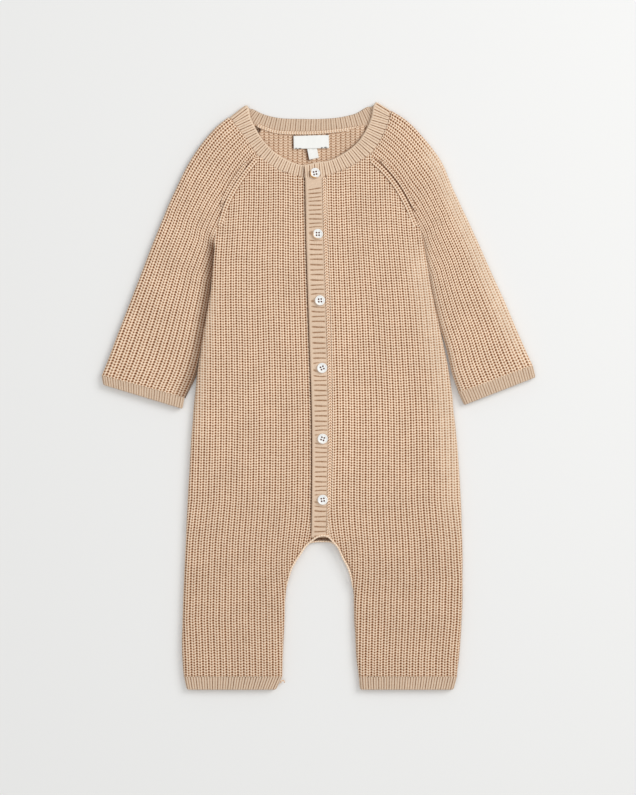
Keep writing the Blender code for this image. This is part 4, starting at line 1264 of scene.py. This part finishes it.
def shellMaterial():
    material = bpy.data.materials.new("shellButton")
    material.use_nodes = True
    tree = material.node_tree
    shader = tree.nodes["Principled BSDF"]
    masks = nodeIn(tree, "ShaderNodeUVMap", uv_map="wear")
    split = nodeIn(tree, "ShaderNodeSeparateXYZ", {0: masks.outputs[0]})
    place = nodeIn(tree, "ShaderNodeTexCoord")
    cloud = rangeIn(tree, noiseIn(tree, place, 260.0, 2.0, 1.0), 0.35, 0.65)
    pearl = mixIn(tree, cloud, (0.93, 0.92, 0.88, 1), (0.84, 0.85, 0.84, 1))
    amber = mixIn(tree, split.outputs[1], pearl, (0.62, 0.33, 0.10, 1))
    # painted shade in the thread holes: their walls sink to dark reddish brown around the thread tufts
    holes = mixIn(tree, split.outputs[0], amber, (0.10, 0.022, 0.01, 1))
    tree.links.new(holes, shader.inputs["Base Color"])
    dull = rangeIn(tree, split.outputs[0], 0.0, 0.6, 0.25, 0.95)
    coat = rangeIn(tree, split.outputs[0], 0.0, 0.6, 0.4, 0.0)
    tree.links.new(dull, shader.inputs["Roughness"])
    tree.links.new(coat, shader.inputs["Coat Weight"])
    shader.inputs["Coat Roughness"].default_value = 0.12
    return material


def threadMaterial():
    material = bpy.data.materials.new("brownThread")
    material.use_nodes = True
    shader = material.node_tree.nodes["Principled BSDF"]
    shader.inputs["Base Color"].default_value = (0.15, 0.035, 0.015, 1)
    shader.inputs["Roughness"].default_value = 0.8
    return material


def makeButton(index):
    x, y = buttonPlaces[index]
    look = shellLook
    step = -0.6 * float(atCrotch(y))
    turn = math.radians(45 + buttonTurns[index])
    away, angles = look["holeAt"] * math.sqrt(2), [turn + k * math.pi / 2 for k in range(4)]
    holes = [(away * math.cos(angle), away * math.sin(angle)) for angle in angles]
    # from the middle of the face over the rim to the middle of the underside
    face = np.concatenate([np.linspace(0.02, look["radius"] - look["edge"], 20), []])
    angle = np.linspace(0, math.pi, 9)
    rimR = look["radius"] - look["edge"] + look["edge"] * np.sin(angle)
    rimZ = look["thick"] / 2 * np.cos(angle) * 0.98
    r = np.concatenate([face, rimR[1:], [0.5 * look["radius"], 0.02]])
    z = np.concatenate([np.full(len(face), look["thick"] / 2), rimZ[1:], [-look["thick"] / 2] * 2])
    z = z - look["dishDepth"] * ease((look["dish"] + 0.5 - r) / 1.0) * (np.arange(len(r)) < len(face))
    theta = np.linspace(0, 2 * math.pi, 73)
    px, py = r[:, None] * np.cos(theta), r[:, None] * np.sin(theta)
    pz = z[:, None] + 0 * theta
    well = np.zeros_like(pz)
    for hx, hy in holes:
        well = np.maximum(well, ease((look["hole"] + 0.16 - np.hypot(px - hx, py - hy)) / 0.28))
    well[len(face):] = 0
    pz = pz - 0.9 * well
    lower = np.clip((-0.75 * px - 0.66 * py) / look["radius"], 0, 1) * (r[:, None] > look["radius"] - 1.0)
    amber = buttonAmber[index] * ease(lower * 1.6)
    places = np.stack([px + x, py + y, pz + look["bottom"] + look["thick"] / 2 + step], axis=-1)
    mesh = gridMesh(f"button_{index + 1}_shell", places, stitchMap(px, py, well, amber))
    closeMesh(mesh)
    button = addPiece(f"button_{index + 1}_shell", mesh, shell, [f"button_{index + 1}"])
    # a tuft of the sewing thread in each hole
    tufts = bmesh.new()
    top = look["bottom"] + look["thick"] - look["dishDepth"] + step
    for hx, hy in holes:
        at = Vector((x + hx, y + hy, top - look["tuftDepth"])) * mm
        place, radius = Matrix.Translation(at) @ Matrix.Diagonal((1, 1, 0.7, 1)), look["hole"] * 0.8 * mm
        bmesh.ops.create_uvsphere(tufts, u_segments=10, v_segments=6, radius=radius, matrix=place)
    mesh = bpy.data.meshes.new(f"button_{index + 1}_thread")
    tufts.to_mesh(mesh)
    tufts.free()
    mesh.shade_smooth()
    addPiece(f"button_{index + 1}_thread", mesh, thread)
    return button


print("turning the buttons")
shell, thread = shellMaterial(), threadMaterial()
buttons = [makeButton(index) for index in range(6)]


# Labels

labels = {
    "neck_label": {"at": (-6.5, 234.8), "size": (32.5, 12.0), "turn": 1.5, "z": 3.8, "thick": 0.3, "sag": 0.35},
    "size_tab": {"at": (-5.2, 226.0), "size": (9.0, 13.5), "turn": 11.0, "z": 2.95, "thick": 0.25, "sag": -0.2},
}


def wovenMaterial():
    material = bpy.data.materials.new("wovenTape")
    material.use_nodes = True
    tree = material.node_tree
    shader = tree.nodes["Principled BSDF"]
    knit = nodeIn(tree, "ShaderNodeUVMap", uv_map="knit")
    split = nodeIn(tree, "ShaderNodeSeparateXYZ", {0: knit.outputs[0]})
    lines = mathIn(tree, "SINE", mathIn(tree, "MULTIPLY", split.outputs[0], 2 * math.pi))
    weft = mathIn(tree, "SINE", mathIn(tree, "MULTIPLY", split.outputs[1], 2 * math.pi))
    weft = mathIn(tree, "MULTIPLY_ADD", weft, 0.15, 0.5)
    tone = mathIn(tree, "MULTIPLY_ADD", lines, 0.35, weft, clamp=True)
    colour = mixIn(tree, tone, (0.80, 0.80, 0.77, 1), (0.93, 0.93, 0.90, 1))
    bump = nodeIn(tree, "ShaderNodeBump", {"Height": tone, "Strength": 0.3, "Distance": 0.0002})
    tree.links.new(colour, shader.inputs["Base Color"])
    tree.links.new(bump.outputs[0], shader.inputs["Normal"])
    shader.inputs["Roughness"].default_value = 0.6
    return material


def makeLabel(name):
    look = labels[name]
    (x, y), (width, length), turn = look["at"], look["size"], math.radians(look["turn"])
    a, b = np.meshgrid(np.linspace(-0.5, 0.5, 41) * width, np.linspace(0.5, -0.5, 17) * length)
    cos, sin = math.cos(turn), math.sin(turn)
    middle = np.stack([x + a * cos - b * sin, y + a * sin + b * cos], axis=-1)
    z = look["z"] + look["sag"] * (np.sin(a / width * 9) * 0.25 + (b / length) ** 2 - 0.12)
    top = np.concatenate([middle, (z + look["thick"])[..., None]], axis=-1)
    low = np.concatenate([middle, (z - look["thick"])[..., None]], axis=-1)[:, ::-1]
    knit = stitchMap(a / 1.1, b / 0.5)
    mesh = gridMesh(f"{name}_woven", *closeRound(top, knit, low, knit[:, ::-1]))
    closeMesh(mesh)
    return addPiece(f"{name}_woven", mesh, tape, [name])


print("weaving the labels")
tape = wovenMaterial()
neckLabel, sizeTab = makeLabel("neck_label"), makeLabel("size_tab")
darkThread = newMaterial("darkThread", Base_Color=(0.025, 0.018, 0.014, 1), Roughness=0.8)[0]
labelStitches = [
    (-20.3, 229.0, 1.3), (-17.0, 228.8, 1.4), (3.2, 229.6, 1.1), (6.6, 229.8, 1.6),
    (-22.0, 240.9, 1.0), (8.2, 241.5, 1.2),
]
for index, (x, y, reach) in enumerate(labelStitches):
    path = [(x - reach, y, 3.9), (x, y + 0.05, 4.4), (x + reach, y + 0.1, 3.9)]
    rolledEdge(f"label_stitch_{index + 1}", path, 0.42, darkThread)


# Floor, light and camera

studio = {
    "floor": (0.83, 0.83, 0.82, 1),
    "camera": (-0.0003, -0.0006, 1.7333),
    "lens": 85.0,
    "world": 0.49,
}


def addFloor():
    plate = bmesh.new()
    bmesh.ops.create_grid(plate, x_segments=1, y_segments=1, size=6.0)
    mesh = bpy.data.meshes.new("floor")
    plate.to_mesh(mesh)
    plate.free()
    material = bpy.data.materials.new("paperFloor")
    material.use_nodes = True
    shader = material.node_tree.nodes["Principled BSDF"]
    shader.inputs["Base Color"].default_value = studio["floor"]
    shader.inputs["Roughness"].default_value = 0.9
    shader.inputs["Specular IOR Level"].default_value = 0.1
    floor = bpy.data.objects.new("floor", mesh)
    floor.location = (0, 0, -0.0004)
    mesh.materials.append(material)
    bpy.context.scene.collection.objects.link(floor)


def addLight(name, place, size, power):
    lamp = bpy.data.lights.new(name, "AREA")
    lamp.shape = "SQUARE"
    lamp.size = size
    lamp.energy = power
    light = bpy.data.objects.new(name, lamp)
    light.location = place
    direction = -np.array(place)
    light.rotation_euler = (
        math.acos(-direction[2] / np.linalg.norm(direction)),
        0,
        math.atan2(direction[1], direction[0]) - math.pi / 2,
    )
    bpy.context.scene.collection.objects.link(light)


print("setting the studio")
addFloor()
addLight("window", (1.6, 1.0, 1.7), 1.3, 30.2)
addLight("overhead", (-0.3, -0.2, 2.6), 2.6, 23.0)
world = bpy.data.worlds.new("studio")
world.use_nodes = True
world.node_tree.nodes["Background"].inputs["Color"].default_value = (1, 1, 1, 1)
world.node_tree.nodes["Background"].inputs["Strength"].default_value = studio["world"]
bpy.context.scene.world = world
bpy.context.scene.view_settings.view_transform = "Standard"
camera = bpy.data.cameras.new("camera")
camera.lens = studio["lens"]
camera.sensor_width = 36.0
cameraObject = bpy.data.objects.new("camera", camera)
cameraObject.location = studio["camera"]
bpy.context.scene.collection.objects.link(cameraObject)
bpy.context.scene.camera = cameraObject
